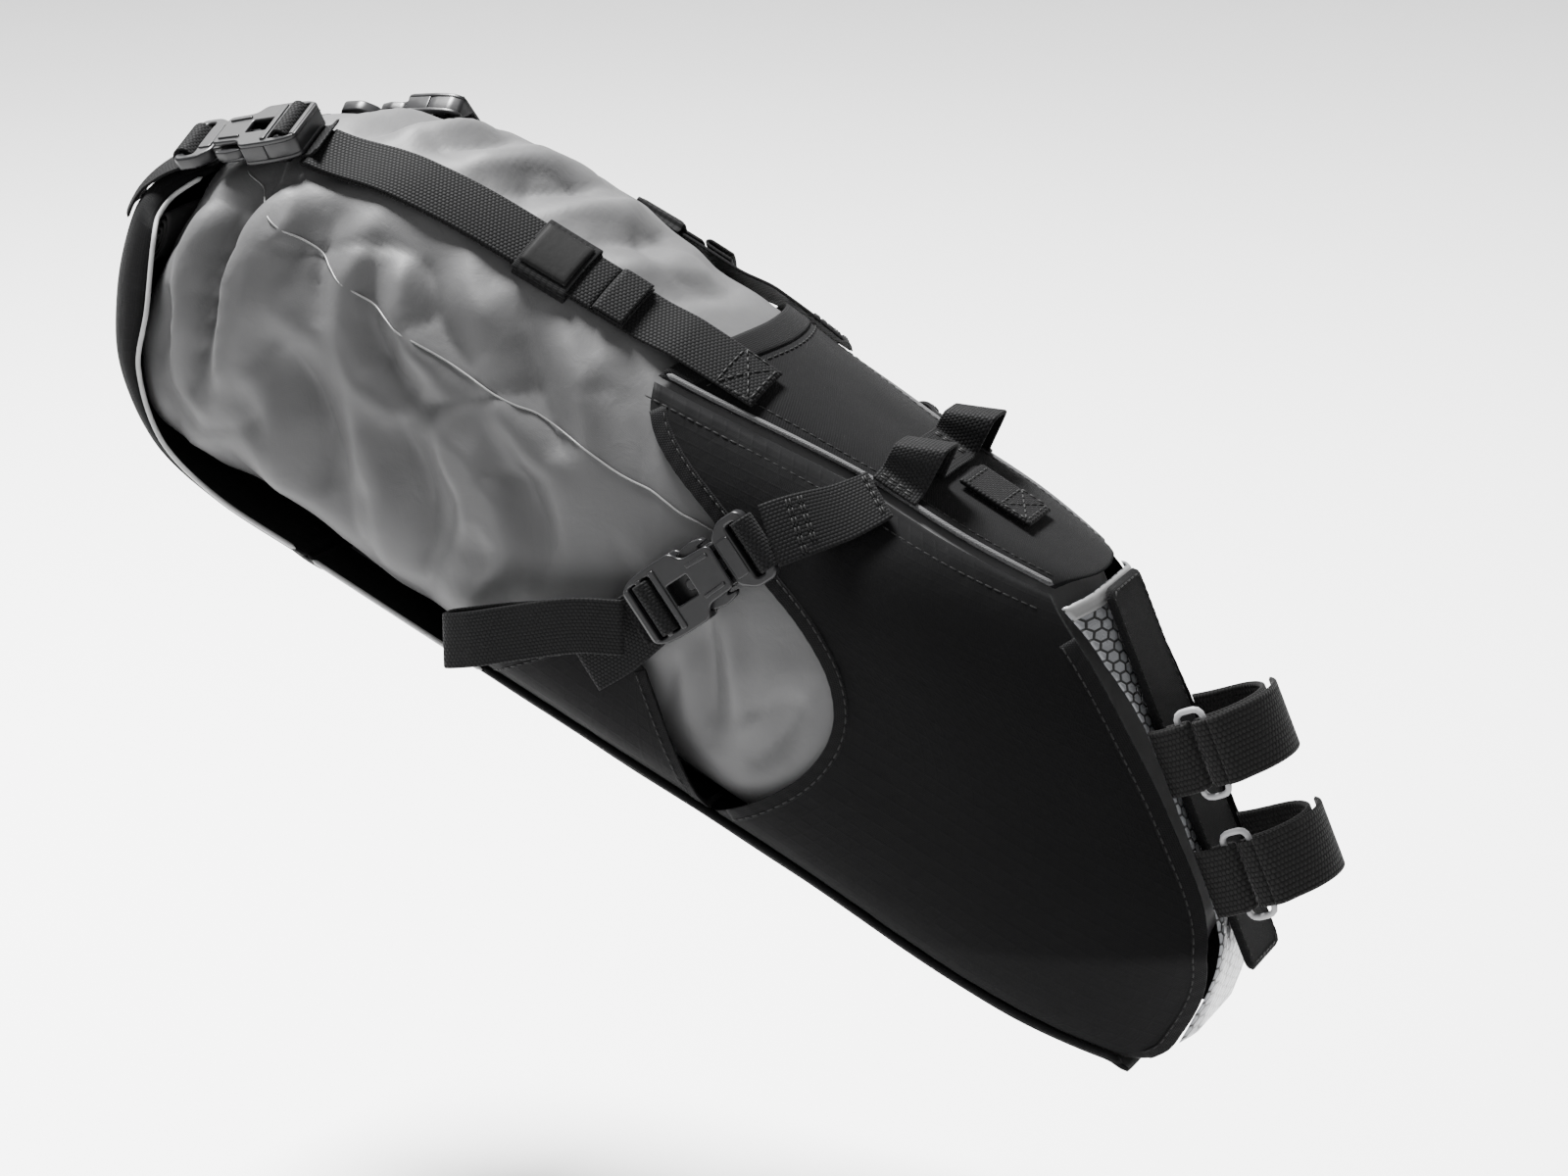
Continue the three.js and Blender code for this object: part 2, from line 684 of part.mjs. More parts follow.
bothSides((side, sign) => {
  const rear = STRAP_REAR[side];
  const strap = topStrapLayer(sign, rear, STRAP_FRONT, 0, WEBBING_THICK, 26);
  const tail = topStrapLayer(sign, rear + 2, TAIL_LAYER_FRONT, WEBBING_THICK + GAP, WEBBING_THICK, 16);
  addPart(bagFrame, `top_strap_${side}`, "webbing", strap);
  addPart(bagFrame, `top_strap_tail_${side}`, "webbing", tail);
  addPart(bagFrame, `strap_tail_end_${side}`, "webbing", foldedEnd(sign));
  addPart(bagFrame, `strap_keeper_${side}`, "canvas", strapKeeper(sign));
});

// Webbing tabs that carry the male halves on the flap's upper edge.
bothSides((side, sign) => {
  const half = (WEBBING - 1) / 2;
  const across = (v) => (sign * STRAP_SPREAD[0][1] * 0.9 + (2 * v - 1) * half) / along(FLAP_HALF, 0.86);
  const foot = side === "left" ? 0.86 : 0.8;
  const at = (lift) => (u, v) => flapPoint(foot + 0.1 * u, across(v), -(2 + lift));
  addPart(bagFrame, `flap_tab_${side}`, "webbing", sheet(4, 1, at(0), at(1.1)));
});

// ---------- straps over the saddle rails and down the sides ----------

const RAIL_CLEAR = 15;
const RAIL_STRAP_X = -150;

/** Webbing across the top panel, raised in two arches that the saddle rails run through. */
function railStrap() {
  const feet = [
    [-35, 0], [-30.5, 0], [-28, 1], [-16, 1], [-13.5, 0], [0, 0],
    [13.5, 0], [16, 1], [28, 1], [30.5, 0], [35, 0],
  ];
  const tilt = Math.tan(BAG_TILT);
  const at = (lift) => (u, v) => {
    const [y, up] = feet[Math.round(u * (feet.length - 1))];
    const along = (2 * v - 1) * (WEBBING / 2) * Math.cos(BAG_TILT);
    const x = RAIL_STRAP_X + along;
    const crown = topHeight(RAIL_STRAP_X, 0) + RAIL_CLEAR + along * tilt;
    const panel = topHeight(x, y) + TOP_PANEL_OUT + 0.6;
    return point(x, y, (up ? crown : panel) + lift);
  };
  return sheet(feet.length - 1, 1, at(0), at(1.4));
}

/** A point on the upper half of the bag's section, by its angle up from the side, raised by a lift. */
function shoulderPoint(x, degrees, lift) {
  const s = sectionAt(x);
  const a = THREE.MathUtils.degToRad(degrees);
  const at = (angle) => {
    const [c, r] = [Math.cos(angle), Math.sin(angle)];
    const reach = (c ** s.topExponent + r ** s.topExponent) ** (-1 / s.topExponent);
    const z = s.middle + reach * r * (s.high - s.middle);
    return point(x, reach * c * prowWidth(x, z), z);
  };
  const along = at(a + 0.03).sub(at(a - 0.03)).normalize();
  return at(a).add(point(0, along.z, -along.y).multiplyScalar(lift));
}

/** Shoulder webbing from the rail strap down to the side buckle's bar. */
function shoulderStrap(sign) {
  const [from, to] = [54, 31];
  const skew = 4;
  const at = (thick) => (u, v) => {
    const across = 2 * v - 1;
    const x = THREE.MathUtils.lerp(-153, -174, u ** 1.3) + across * 8.8;
    const lift = 4 + 9 * THREE.MathUtils.smoothstep(u, 0.35, 1);
    const p = shoulderPoint(x, THREE.MathUtils.lerp(from, to, u) - across * skew, lift + thick);
    p.y *= sign;
    return p;
  };
  return sheet(14, 3, at(0), at(1.4));
}

/** Sewn tab along the middle of the top panel, ahead of the rail strap. */
function centreTab() {
  const at = (lift) => (u, v) => {
    const x = -137 + 30 * u;
    const y = (2 * v - 1) * 10;
    return point(x, y, topHeight(x, y) + TOP_PANEL_OUT + 0.6 + lift);
  };
  return sheet(5, 2, at(0), at(2.6));
}

/** Fixed lower webbing, sewn to the lower wing and running up behind the female half. */
function lowerStrap(sign) {
  const route = [[-214, -44], [-206, -30], [-199, -12], [-193, 4]];
  const centre = sideSpline(route);
  const at = (lift) => (u, v) => {
    const p = centre.getPointAt(u);
    const t = centre.getTangentAt(u);
    p.addScaledVector(point(t.z, 0, -t.x), ((2 * v - 1) * WEBBING) / 2);
    p.y = sign * (halfWidth(p.x, p.z, HARNESS_EXPONENT) + 3.4 + lift);
    return p;
  };
  return sheet(6, 2, at(0), at(1.1));
}

/** Stowed tail of the side strap: a run rearwards from the ladder bars, folded back on itself. */
function stowedTail(sign, start) {
  const route = [
    [0, 0, 0], [-16, -9, 1.5], [-34, -23.5, 3], [-50, -37, 3.5], [-58, -43.5, 1.2],
    [-57, -43, -3.2], [-48, -36, -4.6], [-34, -24.5, -3.4], [-22, -15, -1.6],
  ];
  const centre = spline(route.map(([x, z, y]) => point(start.x + x, start.y + sign * y, start.z + z)));
  const lean = point(0.45, 0.1 * sign, -0.9).normalize();
  const at = (side) => (u, v) => {
    const p = centre.getPointAt(u);
    const t = centre.getTangentAt(u);
    const width = lean.clone().addScaledVector(t, -lean.dot(t)).normalize();
    const out = t.clone().cross(width).normalize();
    return p.addScaledVector(width, ((2 * v - 1) * WEBBING) / 2).addScaledVector(out, side * 0.6);
  };
  return sheet(24, 1, at(-1), at(1));
}

addPart(bagFrame, "rail_strap", "webbing", railStrap());
addPart(bagFrame, "centre_tab", "webbing", centreTab());
bothSides((side, sign) => {
  const [x, z] = SIDE_BUCKLE.ladder;
  const start = point(x - 2.5, sign * (halfWidth(x, z) + SIDE_BUCKLE.ladderLift + 1), z - 4.5);
  addPart(bagFrame, `shoulder_strap_${side}`, "webbing", shoulderStrap(sign));
  addPart(bagFrame, `lower_strap_${side}`, "webbing", lowerStrap(sign));
  addPart(bagFrame, `side_strap_tail_${side}`, "webbing", stowedTail(sign, start));
});

// ---------- nose and seatpost fixing, in the post frame ----------

/** How far the nose panel falls back from the pad, by height and across. */
const NOSE_HALF = [[-66, 25], [-50, 20], [-30, 17.6], [44, 17.6], [70, 23], [101, 29.8]];
const NOSE_BACK = [[-66, 24], [-50, 10], [-38, 3], [-20, 0], [80, 0], [101, 2]];

function nosePanel() {
  const at = (depth) => (u, v) => {
    const z = -66 + 161.6 * u;
    const across = 2 * v - 1;
    const half = along(NOSE_HALF, z);
    const beyondPad = Math.max(0, Math.abs(across) * half - PAD_HALF_WIDTH);
    const fall = Math.max(0, along(NOSE_BACK, z)) + 0.11 * beyondPad ** 1.6;
    return point(-PAD_THICK - GAP - fall - depth, across * half, z);
  };
  return sheet(18, 8, at(1.8), at(0));
}

/** Rubbery pad that the seatpost bears on; its face is the origin's plane. */
function nosePad() {
  const outline = outlineOf([
    [-PAD_HALF_WIDTH, PAD_LOW + 4], [-PAD_HALF_WIDTH + 4, PAD_LOW], [PAD_HALF_WIDTH - 4, PAD_LOW],
    [PAD_HALF_WIDTH, PAD_LOW + 4], [PAD_HALF_WIDTH, PAD_HIGH - 4], [PAD_HALF_WIDTH - 4, PAD_HIGH],
    [-PAD_HALF_WIDTH + 4, PAD_HIGH], [-PAD_HALF_WIDTH, PAD_HIGH - 4],
  ]);
  const geometry = new THREE.ExtrudeGeometry(outline, { depth: PAD_THICK, bevelEnabled: false });
  geometry.rotateZ(Math.PI / 2);
  geometry.rotateY(Math.PI / 2);
  geometry.translate(-PAD_THICK, 0, 0);
  return geometry;
}

/** Points of an arc round the seatpost's axis, in degrees from straight ahead. */
function postArc(radius, from, to, steps) {
  return Array.from({ length: steps + 1 }, (_, k) => {
    const a = THREE.MathUtils.degToRad(from + ((to - from) * k) / steps);
    return [POST_RADIUS + radius * Math.cos(a), radius * Math.sin(a)];
  });
}

/** Webbing of the post strap's width and thickness along a path across the post. */
function postWebbing(path) {
  const curve = path.map(([x, y]) => point(x, y, 0));
  const last = curve.length - 1;
  const normalAt = (k) => {
    const t = curve[Math.min(k + 1, last)].clone().sub(curve[Math.max(k - 1, 0)]).normalize();
    return point(-t.y, t.x, 0);
  };
  const at = (side) => (u, v) => {
    const k = Math.round(u * last);
    const p = curve[k].clone().addScaledVector(normalAt(k), (side * POST_STRAP_THICK) / 2);
    p.z = (2 * v - 1) * (POST_STRAP_WIDTH / 2);
    return p;
  };
  return sheet(last, 1, at(-1), at(1));
}

const RING = { half: 6, height: 17, hole: 2.6, holeHeight: 13.4, thick: 2, bar: 4.3 };

/** Flat ring beside the post: the anchor holds its rear bar, the strap turns round its front bar. */
function strapRing() {
  const { half, height, hole, holeHeight } = RING;
  const round = 4;
  const outer = new THREE.Shape();
  outer.absarc(half - round, height - round, round, 0, Math.PI / 2);
  outer.absarc(round - half, height - round, round, Math.PI / 2, Math.PI);
  outer.absarc(round - half, round - height, round, Math.PI, 1.5 * Math.PI);
  outer.absarc(half - round, round - height, round, 1.5 * Math.PI, 2 * Math.PI);
  outer.holes.push(mirrored([[-hole, holeHeight], [hole, holeHeight]]));
  const geometry = plate(outer, RING.thick, 0.4);
  geometry.rotateX(Math.PI / 2);
  return geometry;
}

const LOOP_RADIUS = POST_RADIUS + GAP + POST_STRAP_THICK / 2;
const TAIL_RADIUS = LOOP_RADIUS + POST_STRAP_THICK + 2.2;
const RING_X = 13.5;
const RING_Y = -(LOOP_RADIUS + POST_STRAP_THICK / 2 + 1.3);
const OVER_RING_Y = RING_Y - RING.thick / 2 - GAP - POST_STRAP_THICK / 2;

addPart(postFrame, "nose_panel", "ripstop", nosePanel());
addPart(postFrame, "nose_pad", "canvas", nosePad());
Object.entries(POST_STRAP_HEIGHTS).forEach(([level, height]) => {
  const loop = postWebbing([[-1.5, 20.2], [6, 18.2], ...postArc(LOOP_RADIUS, 90, -84, 16)]);
  const overRing = [[RING_X + RING.bar + 2.3, OVER_RING_Y], [23.5, OVER_RING_Y + 0.4]];
  const tail = postWebbing([...overRing, ...postArc(TAIL_RADIUS, -55, 42, 10)]);
  const anchor = postWebbing([[-3, -20.4], [3, OVER_RING_Y], [RING_X - 1.5, OVER_RING_Y]]);
  const ring = strapRing();
  ring.translate(RING_X, RING_Y, 0);
  const parts = { loop, tail, anchor, ring };
  Object.entries(parts).forEach(([piece, geometry]) => {
    const finish = piece === "ring" ? "ring" : "webbing";
    addPart(postFrame, `post_strap_${piece}_${level}`, finish, geometry).position.z = height;
  });
});

export default model;
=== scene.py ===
# A bikepacking saddle bag around its CAD frame: stuffed dry bag, sewn harness, webbing and buckles.
# Metres, the frame of the CAD model: +X forwards, +Y to the rider's left, +Z up, the origin on the
# nose pad's face. Shapes are worked out in millimetres in the bag's or the seatpost's own frame.
import math

import bmesh
import bpy
import numpy as np
from mathutils import Matrix, Vector, noise


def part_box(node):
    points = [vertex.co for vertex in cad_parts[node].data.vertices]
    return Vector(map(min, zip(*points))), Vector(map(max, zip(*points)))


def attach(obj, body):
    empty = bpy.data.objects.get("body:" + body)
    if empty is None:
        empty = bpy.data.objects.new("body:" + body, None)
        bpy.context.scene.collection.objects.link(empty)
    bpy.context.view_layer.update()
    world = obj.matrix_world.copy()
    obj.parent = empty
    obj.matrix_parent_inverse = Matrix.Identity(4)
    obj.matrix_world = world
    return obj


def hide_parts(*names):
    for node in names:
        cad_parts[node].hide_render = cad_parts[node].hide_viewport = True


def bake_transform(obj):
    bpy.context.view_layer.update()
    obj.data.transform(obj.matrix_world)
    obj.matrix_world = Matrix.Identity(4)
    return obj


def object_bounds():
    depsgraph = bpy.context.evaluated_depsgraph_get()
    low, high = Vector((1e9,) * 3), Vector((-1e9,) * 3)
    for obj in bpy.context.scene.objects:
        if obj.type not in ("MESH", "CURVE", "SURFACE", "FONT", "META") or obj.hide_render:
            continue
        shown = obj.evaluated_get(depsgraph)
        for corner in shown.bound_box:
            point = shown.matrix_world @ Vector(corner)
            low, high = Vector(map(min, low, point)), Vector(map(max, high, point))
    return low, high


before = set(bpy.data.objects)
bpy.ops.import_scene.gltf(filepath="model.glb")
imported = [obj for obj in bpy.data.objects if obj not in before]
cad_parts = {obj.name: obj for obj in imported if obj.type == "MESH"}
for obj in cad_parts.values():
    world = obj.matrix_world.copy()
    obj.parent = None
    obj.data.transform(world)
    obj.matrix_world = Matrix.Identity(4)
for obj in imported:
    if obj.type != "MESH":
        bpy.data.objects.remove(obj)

CAD_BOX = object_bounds()

MM = 0.001
BAG_TILT = math.radians(25)
POST_TILT = math.radians(23.5)
NOSE_ANGLE = BAG_TILT + POST_TILT
SIDES = {"right": -1, "left": 1}

# The stuffed bag's side view and section along its own axis: (x, value).
TAIL_END = -438
TAIL_ROUND = 50
CROWN = [
    (-436, 44), (-400, 58), (-352, 77), (-288, 78), (-232, 72), (-188, 65),
    (-150, 61), (-85, 59.5), (30, 59.5),
]
BELLY = [(-436, -70), (-400, -73), (-350, -75), (-150, -74), (-100, -75), (-23, -81), (30, -84)]
TOP_EXPONENT = [
    (-436, 2.2), (-288, 2.05), (-232, 2.3), (-188, 2.8), (-150, 3.4), (-110, 4.5), (30, 5),
]
LOW_EXPONENT = [(-436, 2.3), (-288, 2.3), (-220, 3), (-160, 3.8), (30, 5)]
HARNESS_EXPONENT = 8
NOSE_HALF_WIDTH = 20
WIDENING = 49
WIDENING_REACH = 45
FRONT_X = 30

WEBBING = 20
WEBBING_THICK = 1.2

# Seatpost straps, in the post frame.
POST_RADIUS = 15.8
POST_STRAP_WIDTH = 25
POST_STRAP_THICK = 2
POST_STRAP_HEIGHTS = {"upper": 31.5, "lower": -14}
PAD_HALF_WIDTH = 15
PAD_THICK = 3


# ---------- the bag's form ----------

def along(table, x):
    """Smooth value of a table of (x, value) at x."""
    last = len(table) - 1
    if x <= table[0][0]:
        return table[0][1]
    if x >= table[last][0]:
        return table[last][1]
    k = next(i for i, row in enumerate(table) if row[0] > x) - 1

    def slope(i):
        a, b = table[max(i - 1, 0)], table[min(i + 1, last)]
        return (b[1] - a[1]) / (b[0] - a[0])

    span = table[k + 1][0] - table[k][0]
    u = (x - table[k][0]) / span
    h = u * u * (3 - 2 * u)
    value = table[k][1] * (1 - h) + table[k + 1][1] * h
    return value + span * (u * (1 - u) ** 2 * slope(k) - u * u * (1 - u) * slope(k + 1))


def smoothstep(x, low, high):
    t = min(1.0, max(0.0, (x - low) / (high - low)))
    return t * t * (3 - 2 * t)


def mix(a, b, t):
    return a + (b - a) * t


def tail_shrink(x):
    depth = min(1.0, max(0.0, (TAIL_END + TAIL_ROUND - x) / TAIL_ROUND))
    return (1 - depth ** 2.8) ** (1 / 2.8)


def section_at(x):
    """Middle, high, low, shrink and the two exponents of the bag's section."""
    crown, belly = along(CROWN, x), along(BELLY, x)
    middle = (crown + belly) / 2
    shrink = tail_shrink(x)
    high = middle + (crown - middle) * shrink
    low = middle + (belly - middle) * shrink
    return middle, high, low, shrink, along(TOP_EXPONENT, x), along(LOW_EXPONENT, x)


def prow_width(x, z):
    behind = -(x * math.cos(NOSE_ANGLE) + z * math.sin(NOSE_ANGLE))
    depth = max(0.0, min(behind, FRONT_X - x))
    return NOSE_HALF_WIDTH + WIDENING * (1 - math.exp(-depth / WIDENING_REACH))


def half_width(x, z, low_exponent=None):
    middle, high, low, shrink, top_n, low_n = section_at(x)
    upper = z > middle
    rise = (z - middle) / (high - middle) if upper else (middle - z) / (middle - low)
    n = top_n if upper else (low_exponent or low_n)
    return prow_width(x, z) * shrink * max(0.0, 1 - abs(rise) ** n) ** (1 / n)


def top_height(x, y):
    middle, high, _, shrink, top_n, _ = section_at(x)
    share = min(1.0, abs(y) / (prow_width(x, high) * shrink))
    return middle + (high - middle) * (1 - share ** top_n) ** (1 / top_n)


def nose_plane(x, set_back):
    return (-set_back - x * math.cos(NOSE_ANGLE)) / math.sin(NOSE_ANGLE)


# ---------- curves ----------

class Curve:
    """A centripetal Catmull-Rom curve, read by its share of the length."""

    def __init__(self, points, steps=24):
        p = [np.array(q, dtype=float) for q in points]
        p = [2 * p[0] - p[1]] + p + [2 * p[-1] - p[-2]]
        out = []
        for i in range(len(p) - 3):
            a, b, c, d = p[i:i + 4]
            t0 = 0.0
            t1 = t0 + np.linalg.norm(b - a) ** 0.5
            t2 = t1 + np.linalg.norm(c - b) ** 0.5
            t3 = t2 + np.linalg.norm(d - c) ** 0.5
            last = i == len(p) - 4
            for t in np.linspace(t1, t2, steps + 1)[: steps + 1 if last else steps]:
                ab = (t1 - t) / (t1 - t0) * a + (t - t0) / (t1 - t0) * b
                bc = (t2 - t) / (t2 - t1) * b + (t - t1) / (t2 - t1) * c
                cd = (t3 - t) / (t3 - t2) * c + (t - t2) / (t3 - t2) * d
                abc = (t2 - t) / (t2 - t0) * ab + (t - t0) / (t2 - t0) * bc
                bcd = (t3 - t) / (t3 - t1) * bc + (t - t1) / (t3 - t1) * cd
                out.append((t2 - t) / (t2 - t1) * abc + (t - t1) / (t2 - t1) * bcd)
        self.points = np.array(out)
        steps_long = np.linalg.norm(np.diff(self.points, axis=0), axis=1)
        self.reach = np.concatenate([[0.0], np.cumsum(steps_long)])
        self.length = self.reach[-1]

    def at(self, u):
        s = min(1.0, max(0.0, u)) * self.length
        return np.array([np.interp(s, self.reach, self.points[:, k]) for k in range(self.points.shape[1])])

    def tangent(self, u):
        d = self.at(min(1.0, u + 0.004)) - self.at(max(0.0, u - 0.004))
        return d / np.linalg.norm(d)


def patch(rear, front, bottom, top):
    """A patch of side view stretched between four edges: u runs rear to front, v bottom to top."""
    def at(u, v):
        sides = rear.at(v) * (1 - u) + front.at(v) * u
        ends = bottom.at(u) * (1 - v) + top.at(u) * v
        corners = (
            bottom.at(0) * ((1 - u) * (1 - v)) + bottom.at(1) * (u * (1 - v))
            + top.at(0) * ((1 - u) * v) + top.at(1) * (u * v)
        )
        return sides + ends - corners
    return at


# ---------- mesh builders ----------

def to_row(points, angle):
    """Millimetre points of a turned frame as metres of the row frame; the last axis is x, y, z."""
    c, s = math.cos(angle), math.sin(angle)
    x, y, z = points[..., 0], points[..., 1], points[..., 2]
    return np.stack([x * c + z * s, y, -x * s + z * c], axis=-1) * MM


def normals_of(grid):
    """Unit normals of a grid of points."""
    du = np.gradient(grid, axis=0)
    dv = np.gradient(grid, axis=1)
    n = np.cross(du, dv)
    return n / np.maximum(np.linalg.norm(n, axis=-1, keepdims=True), 1e-9)


def arc(grid, axis):
    """Distance along a grid's rows or columns from its first point, in millimetres."""
    steps = np.linalg.norm(np.diff(grid, axis=axis), axis=-1)
    start = np.zeros_like(np.take(steps, [0], axis=axis))
    return np.concatenate([start, np.cumsum(steps, axis=axis)], axis=axis)


def finish_piece(name, mesh, material, body, replaces=()):
    """Puts a mesh in the scene; a piece without a body is left unattached."""
    mesh.materials.append(material)
    mesh.polygons.foreach_set("use_smooth", [True] * len(mesh.polygons))
    piece = bpy.data.objects.new(name, mesh)
    bpy.context.scene.collection.objects.link(piece)
    if body:
        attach(piece, body)
    if replaces:
        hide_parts(*replaces)
    return piece


def shell(name, grid, thick, look, body, replaces=(), angle=BAG_TILT, ends=1.0, turn=False):
    """A sheet of material about a grid of middle points, its edges rounded off over a few tenths."""
    material, slot = look
    run, reach = arc(grid, 0), arc(grid, 1)
    from_end = np.minimum(run, run[-1:] - run)
    from_side = np.minimum(reach, reach[:, -1:] - reach)

    def rounded(distance, radius):
        if radius <= 0:
            return np.ones_like(distance)
        t = np.clip(distance / radius, 0, 1)
        return np.sqrt(np.clip(1 - (1 - t) ** 2, 0.03, 1))

    half = thick / 2 * rounded(from_end, ends * thick / 2) * rounded(from_side, thick / 2)
    n = normals_of(grid)
    rows, cols = grid.shape[:2]
    outer = to_row(grid + n * half[..., None], angle).reshape(-1, 3)
    inner = to_row(grid - n * half[..., None], angle).reshape(-1, 3)
    count = rows * cols
    index = np.arange(count).reshape(rows, cols)
    a, b, c, d = index[:-1, :-1], index[1:, :-1], index[1:, 1:], index[:-1, 1:]
    top = np.stack([a, b, c, d], -1).reshape(-1, 4)
    under = top[:, ::-1] + count
    rim = np.concatenate([index[0, :], index[1:, -1], index[-1, -2::-1], index[-2:0:-1, 0]])
    following = np.roll(rim, -1)
    wall = np.stack([rim, following, following + count, rim + count], -1)
    faces = np.concatenate([top, under, wall])
    mesh = bpy.data.meshes.new(name)
    mesh.from_pydata(np.concatenate([outer, inner]).tolist(), [], faces.tolist())
    middle_run = np.broadcast_to(run.mean(axis=1, keepdims=True), run.shape).reshape(-1)
    middle_reach = np.broadcast_to(reach.mean(axis=0, keepdims=True), reach.shape).reshape(-1)
    flat = np.stack([middle_run, middle_reach], -1)
    if turn:
        flat = flat[:, ::-1]
    lay_flat(mesh, np.concatenate([flat, flat]))
    mesh.validate()
    mesh.update()
    outward(mesh)
    return finish_piece(name, mesh, material, body, replaces)


def lay_flat(mesh, flat):
    """Writes each vertex's flat coordinates, in millimetres, as the mesh's own layer."""
    layer = mesh.uv_layers.new(name="flat")
    corner = np.empty(len(mesh.loops), dtype=np.int32)
    mesh.loops.foreach_get("vertex_index", corner)
    layer.data.foreach_set("uv", flat[corner].astype(np.float32).ravel())


def outward(mesh):
    """Turns a closed mesh's faces out."""
    work = bmesh.new()
    work.from_mesh(mesh)
    bmesh.ops.recalc_face_normals(work, faces=work.faces)
    work.to_mesh(mesh)
    work.free()


def lay(rows, cols, point, col_steps=None):
    """A grid of points from a function of (u, v)."""
    us = np.linspace(0, 1, rows + 1)
    vs = np.linspace(0, 1, cols + 1) if col_steps is None else np.array(col_steps)
    return np.array([[point(u, v) for v in vs] for u in us], dtype=float)


def strap_steps(width=WEBBING, inner=8):
    """Shares across a strap, close together at its rounded edges."""
    edge = [0, 0.12 / width, 0.35 / width, 0.7 / width]
    middle = list(np.linspace(1.6 / width, 1 - 1.6 / width, inner))
    return edge + middle + [1 - e for e in reversed(edge)]


def tube(name, points, radius, look, body, replaces=(), angle=BAG_TILT, sides=12, tip=True):
    """A round cord of stitched piping through a list of points in millimetres."""
    material, slot = look
    curve = Curve(points, 10)
    count = max(8, int(curve.length / 1.6))
    centres = np.array([curve.at(k / count) for k in range(count + 1)])
    tangents = np.gradient(centres, axis=0)
    tangents /= np.linalg.norm(tangents, axis=1, keepdims=True)
    side = np.cross(tangents[0], [0.3, 0.1, 1.0])
    rings = []
    for k in range(count + 1):
        side = side - tangents[k] * side.dot(tangents[k])
        side /= np.linalg.norm(side)
        other = np.cross(tangents[k], side)
        from_end = min(k, count - k) * curve.length / count
        r = radius * math.sqrt(max(0.05, 1 - (1 - min(1.0, from_end / radius)) ** 2)) if tip else radius
        ring = [
            centres[k] + r * (math.cos(t) * side + math.sin(t) * other)
            for t in np.linspace(0, 2 * math.pi, sides, endpoint=False)
        ]
        rings.append(ring)
    grid = np.array(rings)
    vertices = to_row(grid, angle).reshape(-1, 3).tolist()
    faces = []
    for k in range(count):
        for j in range(sides):
            n = (j + 1) % sides
            faces.append((k * sides + j, k * sides + n, (k + 1) * sides + n, (k + 1) * sides + j))
    faces.append(tuple(range(sides))[::-1])
    faces.append(tuple(count * sides + j for j in range(sides)))
    mesh = bpy.data.meshes.new(name)
    mesh.from_pydata(vertices, [], faces)
    ring, place = np.divmod(np.arange(len(vertices)), sides)
    lay_flat(mesh, np.stack([ring * curve.length / count, place * 2 * math.pi * radius / sides], -1))
    outward(mesh)
    return finish_piece(name, mesh, material, body, replaces)


STITCH = 2.6
STITCH_PITCH = 3.4


def stitches(name, lines, body, angle=BAG_TILT, size=0.3):
    """Rows of sewn thread: each line is a list of (point, normal) in millimetres."""
    material, slot = LOOKS["thread"]
    vertices, faces = [], []
    for line in lines:
        points = np.array([p for p, _ in line], dtype=float)
        normals = np.array([n for _, n in line], dtype=float)
        steps = np.linalg.norm(np.diff(points, axis=0), axis=1)
        reach = np.concatenate([[0], np.cumsum(steps)])
        for k in range(int(reach[-1] / STITCH_PITCH)):
            s = (k + 0.5) * STITCH_PITCH
            centre = np.array([np.interp(s, reach, points[:, i]) for i in range(3)])
            ahead = np.array([np.interp(s + 0.5, reach, points[:, i]) for i in range(3)])
            out = np.array([np.interp(s, reach, normals[:, i]) for i in range(3)])
            run = ahead - centre
            if np.linalg.norm(run) < 1e-6:
                continue
            run /= np.linalg.norm(run)
            out /= np.linalg.norm(out)
            across = np.cross(out, run)
            first = len(vertices)
            for shift, r in ((-0.5, 0.35), (-0.3, 1), (0.3, 1), (0.5, 0.35)):
                for c, h in ((-1, 0), (0, 1), (1, 0), (0, -1)):
                    vertices.append(centre + run * shift * STITCH + (across * c + out * h) * r * size)
            for ring in range(3):
                for j in range(4):
                    n = (j + 1) % 4
                    i = first + ring * 4
                    faces.append((i + j, i + n, i + 4 + n, i + 4 + j))
            faces.append((first + 3, first + 2, first + 1, first))
            faces.append((first + 12, first + 13, first + 14, first + 15))
    mesh = bpy.data.meshes.new(name)
    mesh.from_pydata(to_row(np.array(vertices), angle).tolist(), [], faces)
    mesh.update()
    outward(mesh)
    return finish_piece(name, mesh, material, body)


def grid_line(grid, rows, cols, lift):
    """A line of (point, normal) over a grid, through fractional row and column numbers."""
    n = normals_of(grid)
    line = []
    for r, c in zip(rows, cols):
        i, j = min(int(r), grid.shape[0] - 2), min(int(c), grid.shape[1] - 2)
        fr, fc = r - i, c - j

        def blend(field):
            low = field[i, j] * (1 - fc) + field[i, j + 1] * fc
            high = field[i + 1, j] * (1 - fc) + field[i + 1, j + 1] * fc
            return low * (1 - fr) + high * fr
        normal = blend(n)
        line.append((blend(grid) + normal * lift, normal))
    return line


# ---------- materials ----------

